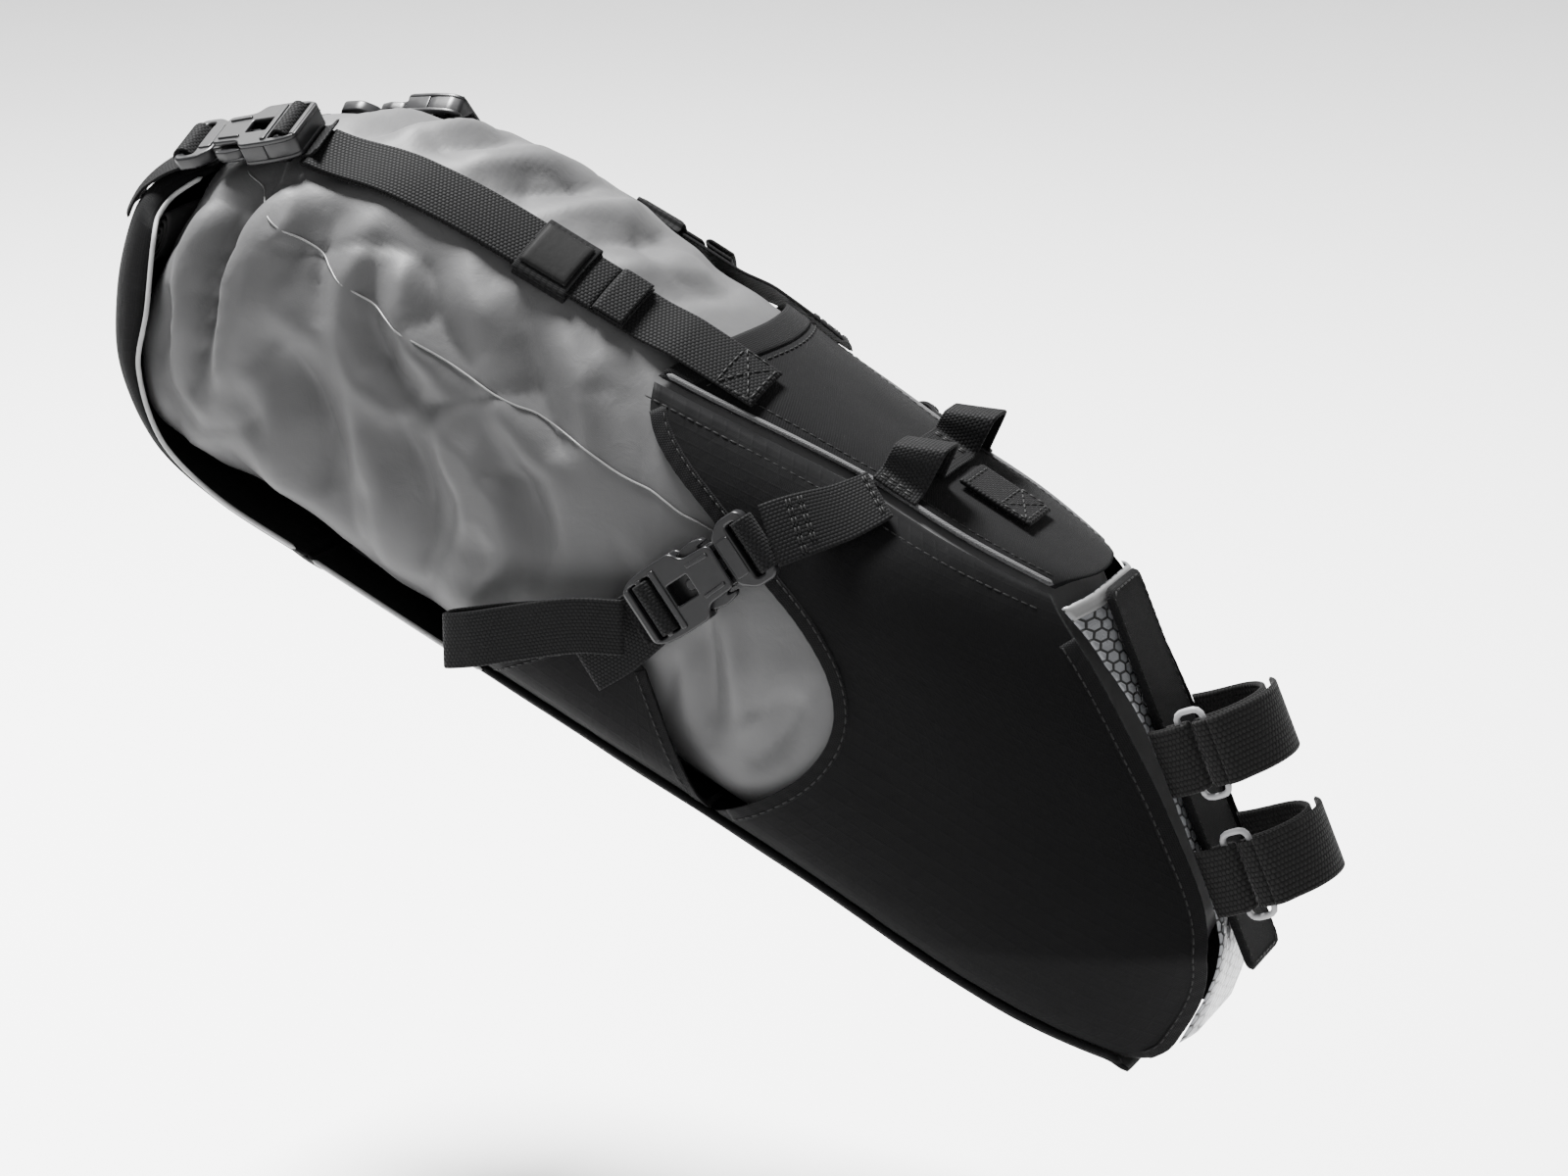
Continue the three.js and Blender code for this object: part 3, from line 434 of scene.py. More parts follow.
class Nodes:
    """Short calls for building a node tree."""

    def __init__(self, name):
        self.material = bpy.data.materials.new(name)
        self.material.use_nodes = True
        self.tree = self.material.node_tree
        self.shader = self.tree.nodes["Principled BSDF"]

    def add(self, kind, **values):
        node = self.tree.nodes.new(kind)
        for key, value in values.items():
            setattr(node, key, value)
        return node

    def link(self, source, target):
        self.tree.links.new(source, target)

    def put(self, socket, value):
        if isinstance(value, bpy.types.NodeSocket):
            self.link(value, socket)
        else:
            socket.default_value = value

    def maths(self, operation, a, b=0.0, c=0.0):
        node = self.add("ShaderNodeMath", operation=operation)
        self.put(node.inputs[0], a)
        self.put(node.inputs[1], b)
        self.put(node.inputs[2], c)
        return node.outputs[0]

    def flat(self):
        """The piece's own flat coordinates in millimetres."""
        node = self.add("ShaderNodeUVMap", uv_map="flat")
        parts = self.add("ShaderNodeSeparateXYZ")
        self.link(node.outputs[0], parts.inputs[0])
        return parts.outputs[0], parts.outputs[1]

    def noise(self, scale, detail=3.0, roughness=0.5, distortion=0.0):
        node = self.add("ShaderNodeTexNoise")
        place = self.add("ShaderNodeTexCoord")
        self.link(place.outputs["Object"], node.inputs["Vector"])
        node.inputs["Scale"].default_value = scale
        node.inputs["Detail"].default_value = detail
        node.inputs["Roughness"].default_value = roughness
        node.inputs["Distortion"].default_value = distortion
        return node.outputs["Fac"]

    def colour(self, factor, low, high):
        node = self.add("ShaderNodeMix", data_type="RGBA")
        self.put(node.inputs[0], factor)
        node.inputs[6].default_value = (*low, 1)
        node.inputs[7].default_value = (*high, 1)
        self.link(node.outputs[2], self.shader.inputs["Base Color"])

    def spread(self, value, low, high):
        node = self.add("ShaderNodeMapRange")
        self.put(node.inputs[0], value)
        node.inputs[3].default_value = low
        node.inputs[4].default_value = high
        return node.outputs[0]

    def bump(self, height, distance, strength=1.0, under=None):
        node = self.add("ShaderNodeBump")
        node.inputs["Distance"].default_value = distance
        node.inputs["Strength"].default_value = strength
        self.link(height, node.inputs["Height"])
        if under is not None:
            self.link(under, node.inputs["Normal"])
        return node.outputs[0]

    def finish(self, roughness, normal, sheen=0.0, specular=0.5):
        self.put(self.shader.inputs["Roughness"], roughness)
        self.link(normal, self.shader.inputs["Normal"])
        self.shader.inputs["Sheen Weight"].default_value = sheen
        self.shader.inputs["Sheen Roughness"].default_value = 0.5
        self.shader.inputs["Specular IOR Level"].default_value = specular
        return self.material

    def wave(self, coordinate, pitch, shift=0.0):
        """A row of rounded ridges, 0 to 1, of that pitch in millimetres."""
        turns = self.maths("MULTIPLY_ADD", coordinate, math.pi / pitch, shift)
        return self.maths("ABSOLUTE", self.maths("SINE", turns))


def weave(nodes, pitch_u, pitch_v):
    """Threads of a plain weave passing over and under one another."""
    u, v = nodes.flat()
    column = nodes.maths("FLOOR", nodes.maths("DIVIDE", v, pitch_v))
    shift = nodes.maths("MULTIPLY", column, math.pi / 2)
    turns = nodes.maths("ADD", nodes.maths("MULTIPLY", u, math.pi / pitch_u), shift)
    over = nodes.maths("ABSOLUTE", nodes.maths("SINE", turns))
    across = nodes.wave(v, pitch_v)
    return nodes.maths("MULTIPLY", nodes.maths("POWER", over, 0.6), nodes.maths("POWER", across, 0.5))


def coated_fabric():
    nodes = Nodes("coated_fabric")
    cloud = nodes.noise(38.0, 4.0, 0.55)
    nodes.colour(nodes.spread(cloud, 0.2, 0.9), (0.034, 0.034, 0.0345), (0.052, 0.052, 0.053))
    fine = nodes.bump(nodes.noise(2600.0, 2.0), 0.00006, 0.35)
    grain = nodes.bump(weave(nodes, 0.55, 0.55), 0.00003, 0.35, fine)
    creases = nodes.bump(nodes.noise(95.0, 5.0, 0.6, 0.4), 0.0009, 0.35, grain)
    return nodes.finish(nodes.spread(cloud, 0.5, 0.66), creases, sheen=0.02, specular=0.3)


def nylon_fabric():
    nodes = Nodes("nylon_fabric")
    cloud = nodes.noise(46.0, 4.0, 0.6)
    nodes.colour(nodes.spread(cloud, 0.1, 0.9), (0.0012, 0.0012, 0.0013), (0.0024, 0.0024, 0.0026))
    threads = nodes.bump(weave(nodes, 0.62, 0.62), 0.00009, 0.55)
    u, v = nodes.flat()
    square = nodes.maths("MAXIMUM", rib_line(nodes, u, 5.2), rib_line(nodes, v, 5.2))
    ribs = nodes.bump(square, 0.00008, 0.5, threads)
    puckers = nodes.bump(nodes.noise(120.0, 4.0, 0.55, 0.3), 0.0007, 0.35, ribs)
    return nodes.finish(nodes.spread(cloud, 0.52, 0.68), puckers, sheen=0.02, specular=0.04)


def rib_line(nodes, coordinate, pitch):
    """A raised line at each pitch, of a thread's width."""
    ridge = nodes.wave(coordinate, pitch)
    return nodes.maths("POWER", ridge, 26.0)


def canvas_fabric():
    nodes = Nodes("canvas_fabric")
    u, v = nodes.flat()
    cloud = nodes.noise(60.0, 4.0, 0.6)
    nodes.colour(nodes.spread(cloud, 0.1, 0.9), (0.002, 0.002, 0.0022), (0.0046, 0.0046, 0.0048))
    twill = nodes.wave(nodes.maths("ADD", u, nodes.maths("MULTIPLY", v, 0.8)), 0.95)
    cross = nodes.wave(nodes.maths("SUBTRACT", v, nodes.maths("MULTIPLY", u, 0.4)), 0.6)
    threads = nodes.bump(nodes.maths("MULTIPLY", twill, cross), 0.00022, 0.7)
    puckers = nodes.bump(nodes.noise(110.0, 4.0, 0.55), 0.0008, 0.35, threads)
    return nodes.finish(nodes.spread(cloud, 0.7, 0.9), puckers, sheen=0.02, specular=0.04)


def webbing_fabric(name, pitch_u, pitch_v, depth, shade):
    nodes = Nodes(name)
    threads = weave(nodes, pitch_u, pitch_v)
    # Painted shade: the colour is darker in the gaps and dips between threads, following the same pattern as
    # their bumps.
    nodes.colour(threads, [c * 0.45 for c in shade], shade)
    fuzz = nodes.bump(nodes.noise(1800.0, 3.0), 0.00008, 0.4)
    ribs = nodes.bump(threads, depth, 0.9, fuzz)
    return nodes.finish(nodes.spread(threads, 0.85, 0.55), ribs, sheen=0.02, specular=0.04)


def hook_loop_fabric():
    """The woolly side of the post straps' tape."""
    nodes = Nodes("hook_loop_tape")
    threads = weave(nodes, 1.5, 1.9)
    pile = nodes.noise(1500.0, 4.0, 0.7)
    # Painted shade: the colour is darker where the pile and the threads lie low, following the same pattern
    # as their bumps.
    pile_and_weave_shade = nodes.maths("MULTIPLY", threads, nodes.spread(pile, 0.5, 1.2))
    nodes.colour(pile_and_weave_shade, (0.002, 0.002, 0.002), (0.009, 0.0088, 0.0088))
    fluff = nodes.bump(pile, 0.0003, 0.5)
    ribs = nodes.bump(threads, 0.00045, 0.9, fluff)
    return nodes.finish(nodes.spread(pile_and_weave_shade, 0.9, 0.6), ribs, sheen=0.03, specular=0.06)


def moulded_plastic(name, low, high, rough):
    nodes = Nodes(name)
    cloud = nodes.noise(300.0, 3.0)
    nodes.colour(cloud, low, high)
    spark = nodes.bump(nodes.noise(3200.0, 2.0), 0.00003, 0.3)
    flow = nodes.bump(nodes.noise(70.0, 2.0), 0.0003, 0.12, spark)
    return nodes.finish(nodes.spread(cloud, rough - 0.05, rough + 0.08), flow, specular=0.22)


def hexagon_mesh():
    """Silver laminate with a dark net of hexagons."""
    nodes = Nodes("hexagon_ripstop")
    place = nodes.add("ShaderNodeUVMap", uv_map="flat")
    scaled = nodes.add("ShaderNodeVectorMath", operation="SCALE")
    nodes.link(place.outputs[0], scaled.inputs[0])
    scaled.inputs["Scale"].default_value = 1 / 4.4

    def cell(shift):
        moved = nodes.add("ShaderNodeVectorMath", operation="ADD")
        nodes.link(scaled.outputs[0], moved.inputs[0])
        moved.inputs[1].default_value = (100 + shift, 173.2050808 + shift * 1.7320508, 0)
        folded = nodes.add("ShaderNodeVectorMath", operation="MODULO")
        nodes.link(moved.outputs[0], folded.inputs[0])
        folded.inputs[1].default_value = (1, 1.7320508, 1)
        centred = nodes.add("ShaderNodeVectorMath", operation="SUBTRACT")
        nodes.link(folded.outputs[0], centred.inputs[0])
        centred.inputs[1].default_value = (0.5, 0.8660254, 0)
        parts = nodes.add("ShaderNodeSeparateXYZ")
        nodes.link(centred.outputs[0], parts.inputs[0])
        x = nodes.maths("ABSOLUTE", parts.outputs[0])
        y = nodes.maths("ABSOLUTE", parts.outputs[1])
        slant = nodes.maths("ADD", nodes.maths("MULTIPLY", x, 0.5), nodes.maths("MULTIPLY", y, 0.8660254))
        return nodes.maths("MAXIMUM", x, slant)

    reach = nodes.maths("MINIMUM", cell(0.0), cell(0.5))
    edge = nodes.add("ShaderNodeMapRange", interpolation_type="SMOOTHSTEP")
    nodes.link(reach, edge.inputs[0])
    edge.inputs[1].default_value = 0.36
    edge.inputs[2].default_value = 0.44
    net = edge.outputs[0]
    cloud = nodes.noise(90.0, 3.0)
    nodes.colour(net, (0.126, 0.129, 0.135), (0.011, 0.011, 0.011))
    net_bump = nodes.bump(net, 0.00018, 0.8)
    crinkle = nodes.bump(nodes.noise(240.0, 4.0, 0.6, 0.5), 0.0012, 0.45, net_bump)
    nodes.shader.inputs["Metallic"].default_value = 0.35
    return nodes.finish(nodes.spread(cloud, 0.22, 0.36), crinkle, specular=0.3)


def piping_fabric():
    nodes = Nodes("light_piping")
    u, v = nodes.flat()
    cloud = nodes.noise(220.0, 4.0, 0.6)
    nodes.colour(cloud, (0.165, 0.165, 0.165), (0.286, 0.286, 0.286))
    ridges = nodes.bump(nodes.wave(nodes.maths("ADD", u, v), 0.7), 0.00012, 0.6)
    return nodes.finish(nodes.spread(cloud, 0.45, 0.6), ridges, specular=0.5)


def clouded(name, grain, shades, rough, relief, specular=0.5):
    """A plain material whose shade, gloss and relief follow one noise: grain is (scale, detail)."""
    nodes = Nodes(name)
    cloud = nodes.noise(*grain)
    nodes.colour(cloud, *shades)
    return nodes.finish(nodes.spread(cloud, *rough), nodes.bump(cloud, *relief), specular=specular)


def canvas_roll():
    """The canvas of the top panel's rolled seams, its twill run round the roll."""
    nodes = Nodes("canvas_roll")
    u, v = nodes.flat()
    cloud = nodes.noise(80.0, 4.0)
    nodes.colour(nodes.spread(cloud, 0.1, 0.9), (0.020, 0.020, 0.021), (0.038, 0.038, 0.040))
    twill = nodes.wave(nodes.maths("ADD", u, nodes.maths("MULTIPLY", v, 1.2)), 0.9)
    return nodes.finish(nodes.spread(cloud, 0.6, 0.85), nodes.bump(twill, 0.0002, 0.7), sheen=0.02)


def grey(level):
    return (level, level, level)


BLACK_PLASTIC = (0.006, 0.006, 0.0065), (0.010, 0.010, 0.0105)
RING_SILVER = (0.16, 0.16, 0.165), (0.24, 0.24, 0.245)
BOARD_BLACK = (0.022, 0.022, 0.024), (0.038, 0.038, 0.040)
THREAD_BLACK = grey(0.006), grey(0.018)
SEAM_GREY = grey(0.075), grey(0.105)
TAB_BLACK = grey(0.004), grey(0.008)

# Each look is a material and the slot that it fills.
LOOKS = {
    "coated": (coated_fabric(), "coated_fabric"),
    "nylon": (nylon_fabric(), "nylon"),
    "canvas": (canvas_fabric(), "canvas"),
    "webbing": (webbing_fabric("webbing", 1.55, 1.25, 0.00028, (0.0055, 0.0055, 0.0057)), "webbing"),
    "binding": (webbing_fabric("binding_tape", 0.9, 0.8, 0.00014, (0.004, 0.004, 0.0042)), "nylon"),
    "elastic": (webbing_fabric("elastic", 0.7, 2.4, 0.00012, (0.005, 0.005, 0.0052)), "canvas"),
    "hook_loop": (hook_loop_fabric(), "webbing"),
    "plastic": (moulded_plastic("buckle_plastic", *BLACK_PLASTIC, 0.3), "buckle_plastic"),
    "ring": (moulded_plastic("ring_plastic", *RING_SILVER, 0.3), "ring_plastic"),
    "hexagon": (hexagon_mesh(), "ripstop"),
    "piping": (piping_fabric(), "piping"),
    "thread": (clouded("thread", (900.0, 2.0), THREAD_BLACK, (0.4, 0.6), (0.0001, 0.5), 0.1), "webbing"),
    "board": (clouded("board_plastic", (180.0, 4.0), BOARD_BLACK, (0.45, 0.6), (0.0002, 0.3)), "board"),
    "seam": (clouded("welded_seam", (400.0, 3.0), SEAM_GREY, (0.35, 0.5), (0.0001, 0.4)), "coated_fabric"),
    "smooth_tab": (
        clouded("smooth_tab", (500.0, 3.0), TAB_BLACK, (0.55, 0.7), (0.00015, 0.5), 0.04), "canvas",
    ),
    "canvas_roll": (canvas_roll(), "canvas"),
}


# ---------- camera, floor and light ----------

CAMERA_PLACE = (0.460479, -1.348630, 0.576339)
CAMERA_AZIMUTH = math.radians(25)
CAMERA_ELEVATION = math.radians(19)


def camera():
    """The photograph's viewing angle: from the bag's right and rear, a little above."""
    data = bpy.data.cameras.new("camera")
    data.lens = 100
    data.sensor_width = 36
    azimuth, elevation = CAMERA_AZIMUTH, CAMERA_ELEVATION
    right = Vector((math.cos(azimuth), math.sin(azimuth), 0))
    back = Vector((
        math.sin(azimuth) * math.cos(elevation),
        -math.cos(azimuth) * math.cos(elevation),
        math.sin(elevation),
    ))
    up = back.cross(right)
    piece = bpy.data.objects.new("camera", data)
    turn = Matrix((right, up, back)).transposed().to_4x4()
    piece.matrix_world = Matrix.Translation(CAMERA_PLACE) @ turn
    bpy.context.scene.collection.objects.link(piece)
    bpy.context.scene.camera = piece


FLOOR_DROP = 0.12
FLOOR_HALF_WIDTH = 5


def floor():
    """A wide pale floor well below the bag, curving up behind it."""
    level = CAD_BOX[0][2] - FLOOR_DROP
    radius, reach, height = 1.2, 2.6, 3.0
    profile = [(-reach * 1.4, level), (reach, level)]
    for k in range(1, 13):
        a = k / 12 * math.pi / 2
        profile.append((reach + radius * math.sin(a), level + radius * (1 - math.cos(a))))
    profile.append((reach + radius, level + height))
    vertices, faces = [], []
    for k, (y, z) in enumerate(profile):
        vertices += [(-FLOOR_HALF_WIDTH, y, z), (FLOOR_HALF_WIDTH, y, z)]
        if k:
            i = 2 * k
            faces.append((i - 2, i - 1, i + 1, i))
    mesh = bpy.data.meshes.new("floor")
    mesh.from_pydata(vertices, [], faces)
    mesh.polygons.foreach_set("use_smooth", [True] * len(mesh.polygons))
    nodes = Nodes("pale_floor")
    cloud = nodes.noise(3.0, 2.0)
    nodes.colour(cloud, (0.90, 0.90, 0.90), (0.93, 0.93, 0.93))
    mesh.materials.append(nodes.finish(nodes.spread(cloud, 0.8, 0.9), nodes.bump(cloud, 0.001, 0.05)))
    piece = bpy.data.objects.new("floor", mesh)
    bpy.context.scene.collection.objects.link(piece)


def area_light(name, place, aim, size, power):
    data = bpy.data.lights.new(name, "AREA")
    data.shape = "RECTANGLE"
    data.size, data.size_y = size
    data.energy = power
    lamp = bpy.data.objects.new(name, data)
    lamp.location = place
    lamp.rotation_euler = (Vector(aim) - Vector(place)).to_track_quat("-Z", "Y").to_euler()
    bpy.context.scene.collection.objects.link(lamp)


def lights():
    """Soft white surroundings, a hard key from above the tail and two weak fills."""
    world = bpy.data.worlds.new("studio")
    world.use_nodes = True
    background = world.node_tree.nodes["Background"]
    background.inputs["Color"].default_value = (1, 1, 1, 1)
    background.inputs["Strength"].default_value = 0.68
    bpy.context.scene.world = world
    middle = (-0.2, 0, 0.08)
    area_light("key", (-0.75, 0.15, 1.7), middle, (0.5, 0.45), 260)
    area_light("front_fill", (0.9, -1.3, 0.8), middle, (0.7, 0.7), 5)
    area_light("rear_rim", (-1.2, 0.9, 1.0), middle, (1.0, 0.8), 12)


camera()
floor()
lights()


# ---------- dry bag ----------

BAG_FRONT = 12
BAG_NOSE_SET_BACK = 17
FOLD_STRENGTH = 1.9
FOOT_FULLNESS = 12

# Soft folds of the stuffed bag's right side, each along a short route over its side view.
# (route of (x, z) points, half width, depth; a negative depth is a ridge)
FOLDS = [
    ([(-404, 48), (-408, 20), (-398, -20), (-392, -42)], 7, 4.6),
    ([(-392, 44), (-392, 16), (-382, -18)], 8, -2.4),
    ([(-374, 50), (-368, 26), (-356, 10)], 9, 2.6),
    ([(-352, 42), (-340, 22), (-326, 12), (-312, 8)], 7, 3.0),
    ([(-366, -2), (-344, -20), (-330, -42)], 10, 3.2),
    ([(-336, 52), (-318, 36), (-296, 28)], 8, 2.2),
    ([(-318, -2), (-296, -22), (-284, -46)], 9, 3.4),
    ([(-302, 6), (-276, -8), (-262, -26)], 8, -1.8),
    ([(-292, 46), (-270, 30), (-252, 18)], 8, 2.6),
    ([(-270, 8), (-248, -12), (-240, -40)], 8, 2.8),
    ([(-250, 46), (-232, 34), (-214, 18)], 7, 2.2),
    ([(-228, 6), (-214, -8), (-204, -26)], 7, 2.0),
    ([(-188, 0), (-176, -18), (-164, -44)], 6, 2.4),
    ([(-140, -10), (-141, -28), (-148, -50)], 6, 1.6),
    ([(-420, -10), (-410, -34), (-392, -58)], 8, 3.0),
    ([(-380, -48), (-350, -58), (-320, -60)], 8, 2.4),
]
CROWN_FOLDS = [
    ([(-392, -20), (-380, 4), (-372, 26)], 9, 3.2),
    ([(-366, -26), (-352, -2), (-350, 24)], 9, 2.6),
    ([(-330, -28), (-316, -4), (-310, 22)], 8, 2.4),
    ([(-292, -24), (-280, 0), (-282, 24)], 8, 2.0),
    ([(-256, -22), (-246, 2), (-250, 22)], 7, 2.0),
]


def distance_to(points, route):
    """Distance of points to a smooth route, and the share along it."""
    curve = Curve(route, 12).points
    best = np.full(len(points), 1e9)
    share = np.zeros(len(points))
    for k in range(len(curve) - 1):
        a, b = curve[k], curve[k + 1]
        t = np.clip(((points - a) @ (b - a)) / max((b - a) @ (b - a), 1e-9), 0, 1)
        d = np.linalg.norm(points - (a + t[:, None] * (b - a)), axis=1)
        closer = d < best
        best = np.where(closer, d, best)
        share = np.where(closer, (k + t) / (len(curve) - 1), share)
    return best, share


def fold_depth(points, folds):
    """How far the folds press the fabric in at flat points, with a low ridge beside each."""
    depth = np.zeros(len(points))
    for route, reach, deep in folds:
        d, share = distance_to(points, route)
        fade = np.sqrt(np.clip(np.sin(np.pi * np.clip(share, 0.02, 0.98)), 0, 1))
        near = (d / reach) ** 2
        crease = 0.6 * np.exp(-near) + 0.55 * np.exp(-2.4 * d / reach)
        depth += deep * fade * (crease - 0.5 * np.exp(-((d / reach - 1.7) ** 2) * 2.2))
    return depth


def bag_ring(x, count):
    """One section of the stuffed bag, cut off at the top where it meets the nose."""
    _, top, low, shrink, top_n, low_n = section_at(x)
    high = min(top, nose_plane(x, BAG_NOSE_SET_BACK))
    middle = (high + low) / 2
    inset = 0.7 * smoothstep(x, -260, -235) + 2.5 * smoothstep(x, -70, 0)
    ring = []
    for j in range(count):
        a = j / count * 2 * math.pi
        c, r = math.cos(a), math.sin(a)
        n = top_n if r > 0 else low_n
        reach = (abs(c) ** n + abs(r) ** n) ** (-1 / n)
        z = middle + reach * r * (high - low) / 2
        ring.append((x, reach * c * (prow_width(x, z) * shrink - inset), z))
    return ring


def bag_dents(points, n):
    """How far the dry bag's fabric lies inside its plain form at each point with normal n."""
    x, y, z = points.T
    right = y < 0
    side = np.zeros(len(x))
    side[right] = fold_depth(points[right][:, [0, 2]], FOLDS)
    mirrored = [([(px + 9, pz - 3) for px, pz in route], reach, deep) for route, reach, deep in FOLDS[::-1]]
    side[~right] = fold_depth(points[~right][:, [0, 2]], mirrored)
    over = np.zeros(len(x))
    upper = z > 20
    over[upper] = fold_depth(points[upper][:, [0, 1]], CROWN_FOLDS)
    sideways = np.clip(np.abs(n[:, 1]) * 1.25, 0, 1)
    depth = side * sideways + over * np.clip(n[:, 2], 0, 1) ** 2
    slow = np.array([noise.noise(Vector((a / 58, b / 44, c / 44))) for a, b, c in points])
    fine = np.array([noise.noise(Vector((a / 21 + 7, b / 19, c / 17))) for a, b, c in points])
    crumple = np.array([abs(noise.noise(Vector((a / 46 + 3, b / 30, c / 36)))) for a, b, c in points])
    depth += 1.6 * slow + 0.7 * fine + 0.9 * np.exp(-crumple / 0.16) - 0.3
    bare = 1 - smoothstep_array(x, -262, -240)
    window = np.exp(-((x + 160) / 34) ** 2 - ((z + 26) / 38) ** 2) * right
    free = np.clip(np.maximum(bare, window), 0, 1)
    calm = smoothstep_array(x, TAIL_END, TAIL_END + 8)
    depth = np.clip(depth * FOLD_STRENGTH, -4.2, 12)
    foot = np.exp(-((z + 52) / 21) ** 2) * smoothstep_array(x, TAIL_END + 6, -400) * bare
    depth = (depth - FOOT_FULLNESS * foot * sideways) * calm
    depth = depth * (0.25 + 0.75 * free)
    covered = np.clip(depth, 0.1, 9)
    return mix(covered, depth, free)


def dry_bag():
    """The stuffed bag: sections along its axis, pressed in by folds, closed at both ends."""
    count = 220
    tail = [TAIL_END + 0.6 + TAIL_ROUND * (1 - math.cos(i / 26 * math.pi / 2)) for i in range(1, 26)]
    start = TAIL_END + TAIL_ROUND
    stations = tail + [start + (BAG_FRONT - start) * i / 190 for i in range(191)]
    grid = np.array([bag_ring(x, count) for x in stations])
    closed = np.concatenate([grid[:, -1:], grid, grid[:, :1]], axis=1)
    n = normals_of(closed)[:, 1:-1]
    if n[100, 0, 1] < 0:
        n = -n
    n = n.reshape(-1, 3)
    points = grid.reshape(-1, 3)
    moved = (points - n * bag_dents(points, n)[:, None]).reshape(grid.shape)
    rings, sides = moved.shape[:2]
    vertices = to_row(moved, BAG_TILT).reshape(-1, 3).tolist()
    faces = []
    for i in range(rings - 1):
        for j in range(sides):
            k = (j + 1) % sides
            faces.append((i * sides + j, (i + 1) * sides + j, (i + 1) * sides + k, i * sides + k))
    for i in (0, rings - 1):
        centre = to_row(moved[i].mean(axis=0), BAG_TILT)
        vertices.append(centre.tolist())
        hub = len(vertices) - 1
        faces += [(i * sides + j, i * sides + (j + 1) % sides, hub) for j in range(sides)]
    mesh = bpy.data.meshes.new("dry_bag_skin")
    mesh.from_pydata(vertices, [], faces)
    flat = np.zeros((len(vertices), 2))
    flat[:rings * sides, 0] = np.repeat(arc(moved, 0).mean(axis=1), sides)
    flat[:rings * sides, 1] = np.tile(arc(moved, 1).mean(axis=0), rings)
    lay_flat(mesh, flat)
    outward(mesh)
    material, slot = LOOKS["coated"]
    piece = finish_piece("dry_bag_skin", mesh, material, "harness", ["dry_bag"])
    return moved


def smoothstep_array(x, low, high):
    t = np.clip((x - low) / (high - low), 0, 1)
    return t * t * (3 - 2 * t)


def nearest_on(surface, x, z, sign):
    """The point of a ringed surface nearest to a place of the side view."""
    half = surface[:, surface[0, :, 1] * sign > 0]
    flat_points = half.reshape(-1, 3)
    k = np.argmin((flat_points[:, 0] - x) ** 2 + (flat_points[:, 2] - z) ** 2)
    return flat_points[k]


def welded_seam(surface):
    """The thin light ridge where the dry bag's panels are welded, along each side."""
    for side, sign in SIDES.items():
        line = []
        for k in range(110):
            x = mix(-428, -170, k / 109)
            z = 35 - 10 * smoothstep(x, -420, -320) + 1.5 * math.sin((x + 430) / 60)
            p = nearest_on(surface, x, z, sign)
            line.append((p[0], p[1] + sign * 0.35, p[2]))
        tube(f"dry_bag_seam_{side}", smoothed(line, 3), 0.36, LOOKS["seam"], "harness", sides=8)


def smoothed(points, times):
    """A list of points with its small steps evened out."""
    p = np.array(points, dtype=float)
    for _ in range(times):
        p[1:-1] = 0.25 * p[:-2] + 0.5 * p[1:-1] + 0.25 * p[2:]
    return p[::3].tolist()


def roll_top():
    """The mouth of the dry bag, rolled up on itself."""
    low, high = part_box("dry_bag_roll_top")
    half = (high[1] - low[1]) / 2 / MM - 0.5
    centre_x, centre_z = TAIL_END - 4.6, -12
    turns, pitch = 3.4, 1.05
    steps = 150

    def at(u, v):
        a = u * turns * 2 * math.pi
        r = 0.35 + pitch * a / (2 * math.pi)
        return (centre_x + r * math.cos(a) * 0.95, (2 * v - 1) * half, centre_z + 2.9 * r * math.sin(a))
    grid = lay(steps, 30, at)
    grid[..., 0] += 0.15 * np.sin(np.linspace(0, 19, 31))[None, :]
    shell("roll_top_closure", grid, 0.5, LOOKS["coated"], "harness", ["dry_bag_roll_top"])


bag_surface = dry_bag()
welded_seam(bag_surface)
roll_top()


# ---------- harness panels ----------

SEAM = [(-241, 54.5), (-181, 56.5), (-130, 56), (-86, 55.5)]
WINDOW = [
    (-152, -71), (-136, -52), (-126, -33), (-125, -15), (-133, -1), (-150, 11),
    (-172, 20), (-197, 29), (-222, 38), (-235, 46), (-241, 54.5),
]
NOSE_EDGE = [
    (14, -82.5), (24, -76), (27, -62), (26, -42), (17, -22), (-12, 5), (-31, 20), (-62, 42), (-86, 55.5),
]
SIDE_FOOT = [(-152, -71), (-100, -73), (-40, -77.5), (14, -82.5)]
WING_REAR = [(-252, -71), (-214, -27)]
WING_FRONT = [(-153, -71), (-172, -54), (-194, -33)]


def on_side(x, z, sign, lift):
    return (x, sign * (half_width(x, z, HARNESS_EXPONENT) + lift), z)


def side_panel(piece, area, side):
    """A panel lying on the side of the bag, puckered a little along its seams."""
    sign = SIDES[side]

    def at(u, v):
        x, z = area(u, v)
        edge = min(u, 1 - u, v, 1 - v)
        pucker = 0.35 * noise.noise(Vector((x / 7, z / 7, sign))) * math.exp(-edge / 0.09)
        slack = 0.45 * noise.noise(Vector((x / 34, z / 26, sign * 3)))
        return on_side(x, z, sign, 1.75 + pucker + slack)
    grid = lay(96, 76, at)
    shell(f"{piece}_cloth_{side}", grid, 0.9, LOOKS["nylon"], "harness", [f"{piece}_{side}"])


def surface_strip(name, route, sign, width, lift):
    """Binding tape lying along a route over the bag's side."""
    curve = Curve(route)
    steps = max(10, int(curve.length / 1.6))

    def at(u, v):
        p, t = curve.at(u), curve.tangent(u)
        x = p[0] - t[1] * (2 * v - 1) * width / 2
        z = p[1] + t[0] * (2 * v - 1) * width / 2
        wave = 0.12 * math.sin(u * curve.length * 1.1 + 4 * v)
        return on_side(x, z, sign, lift + wave)
    grid = lay(steps, 0, at, col_steps=strap_steps(width, 5))
    return shell(name, grid, 0.7, LOOKS["binding"], "harness")


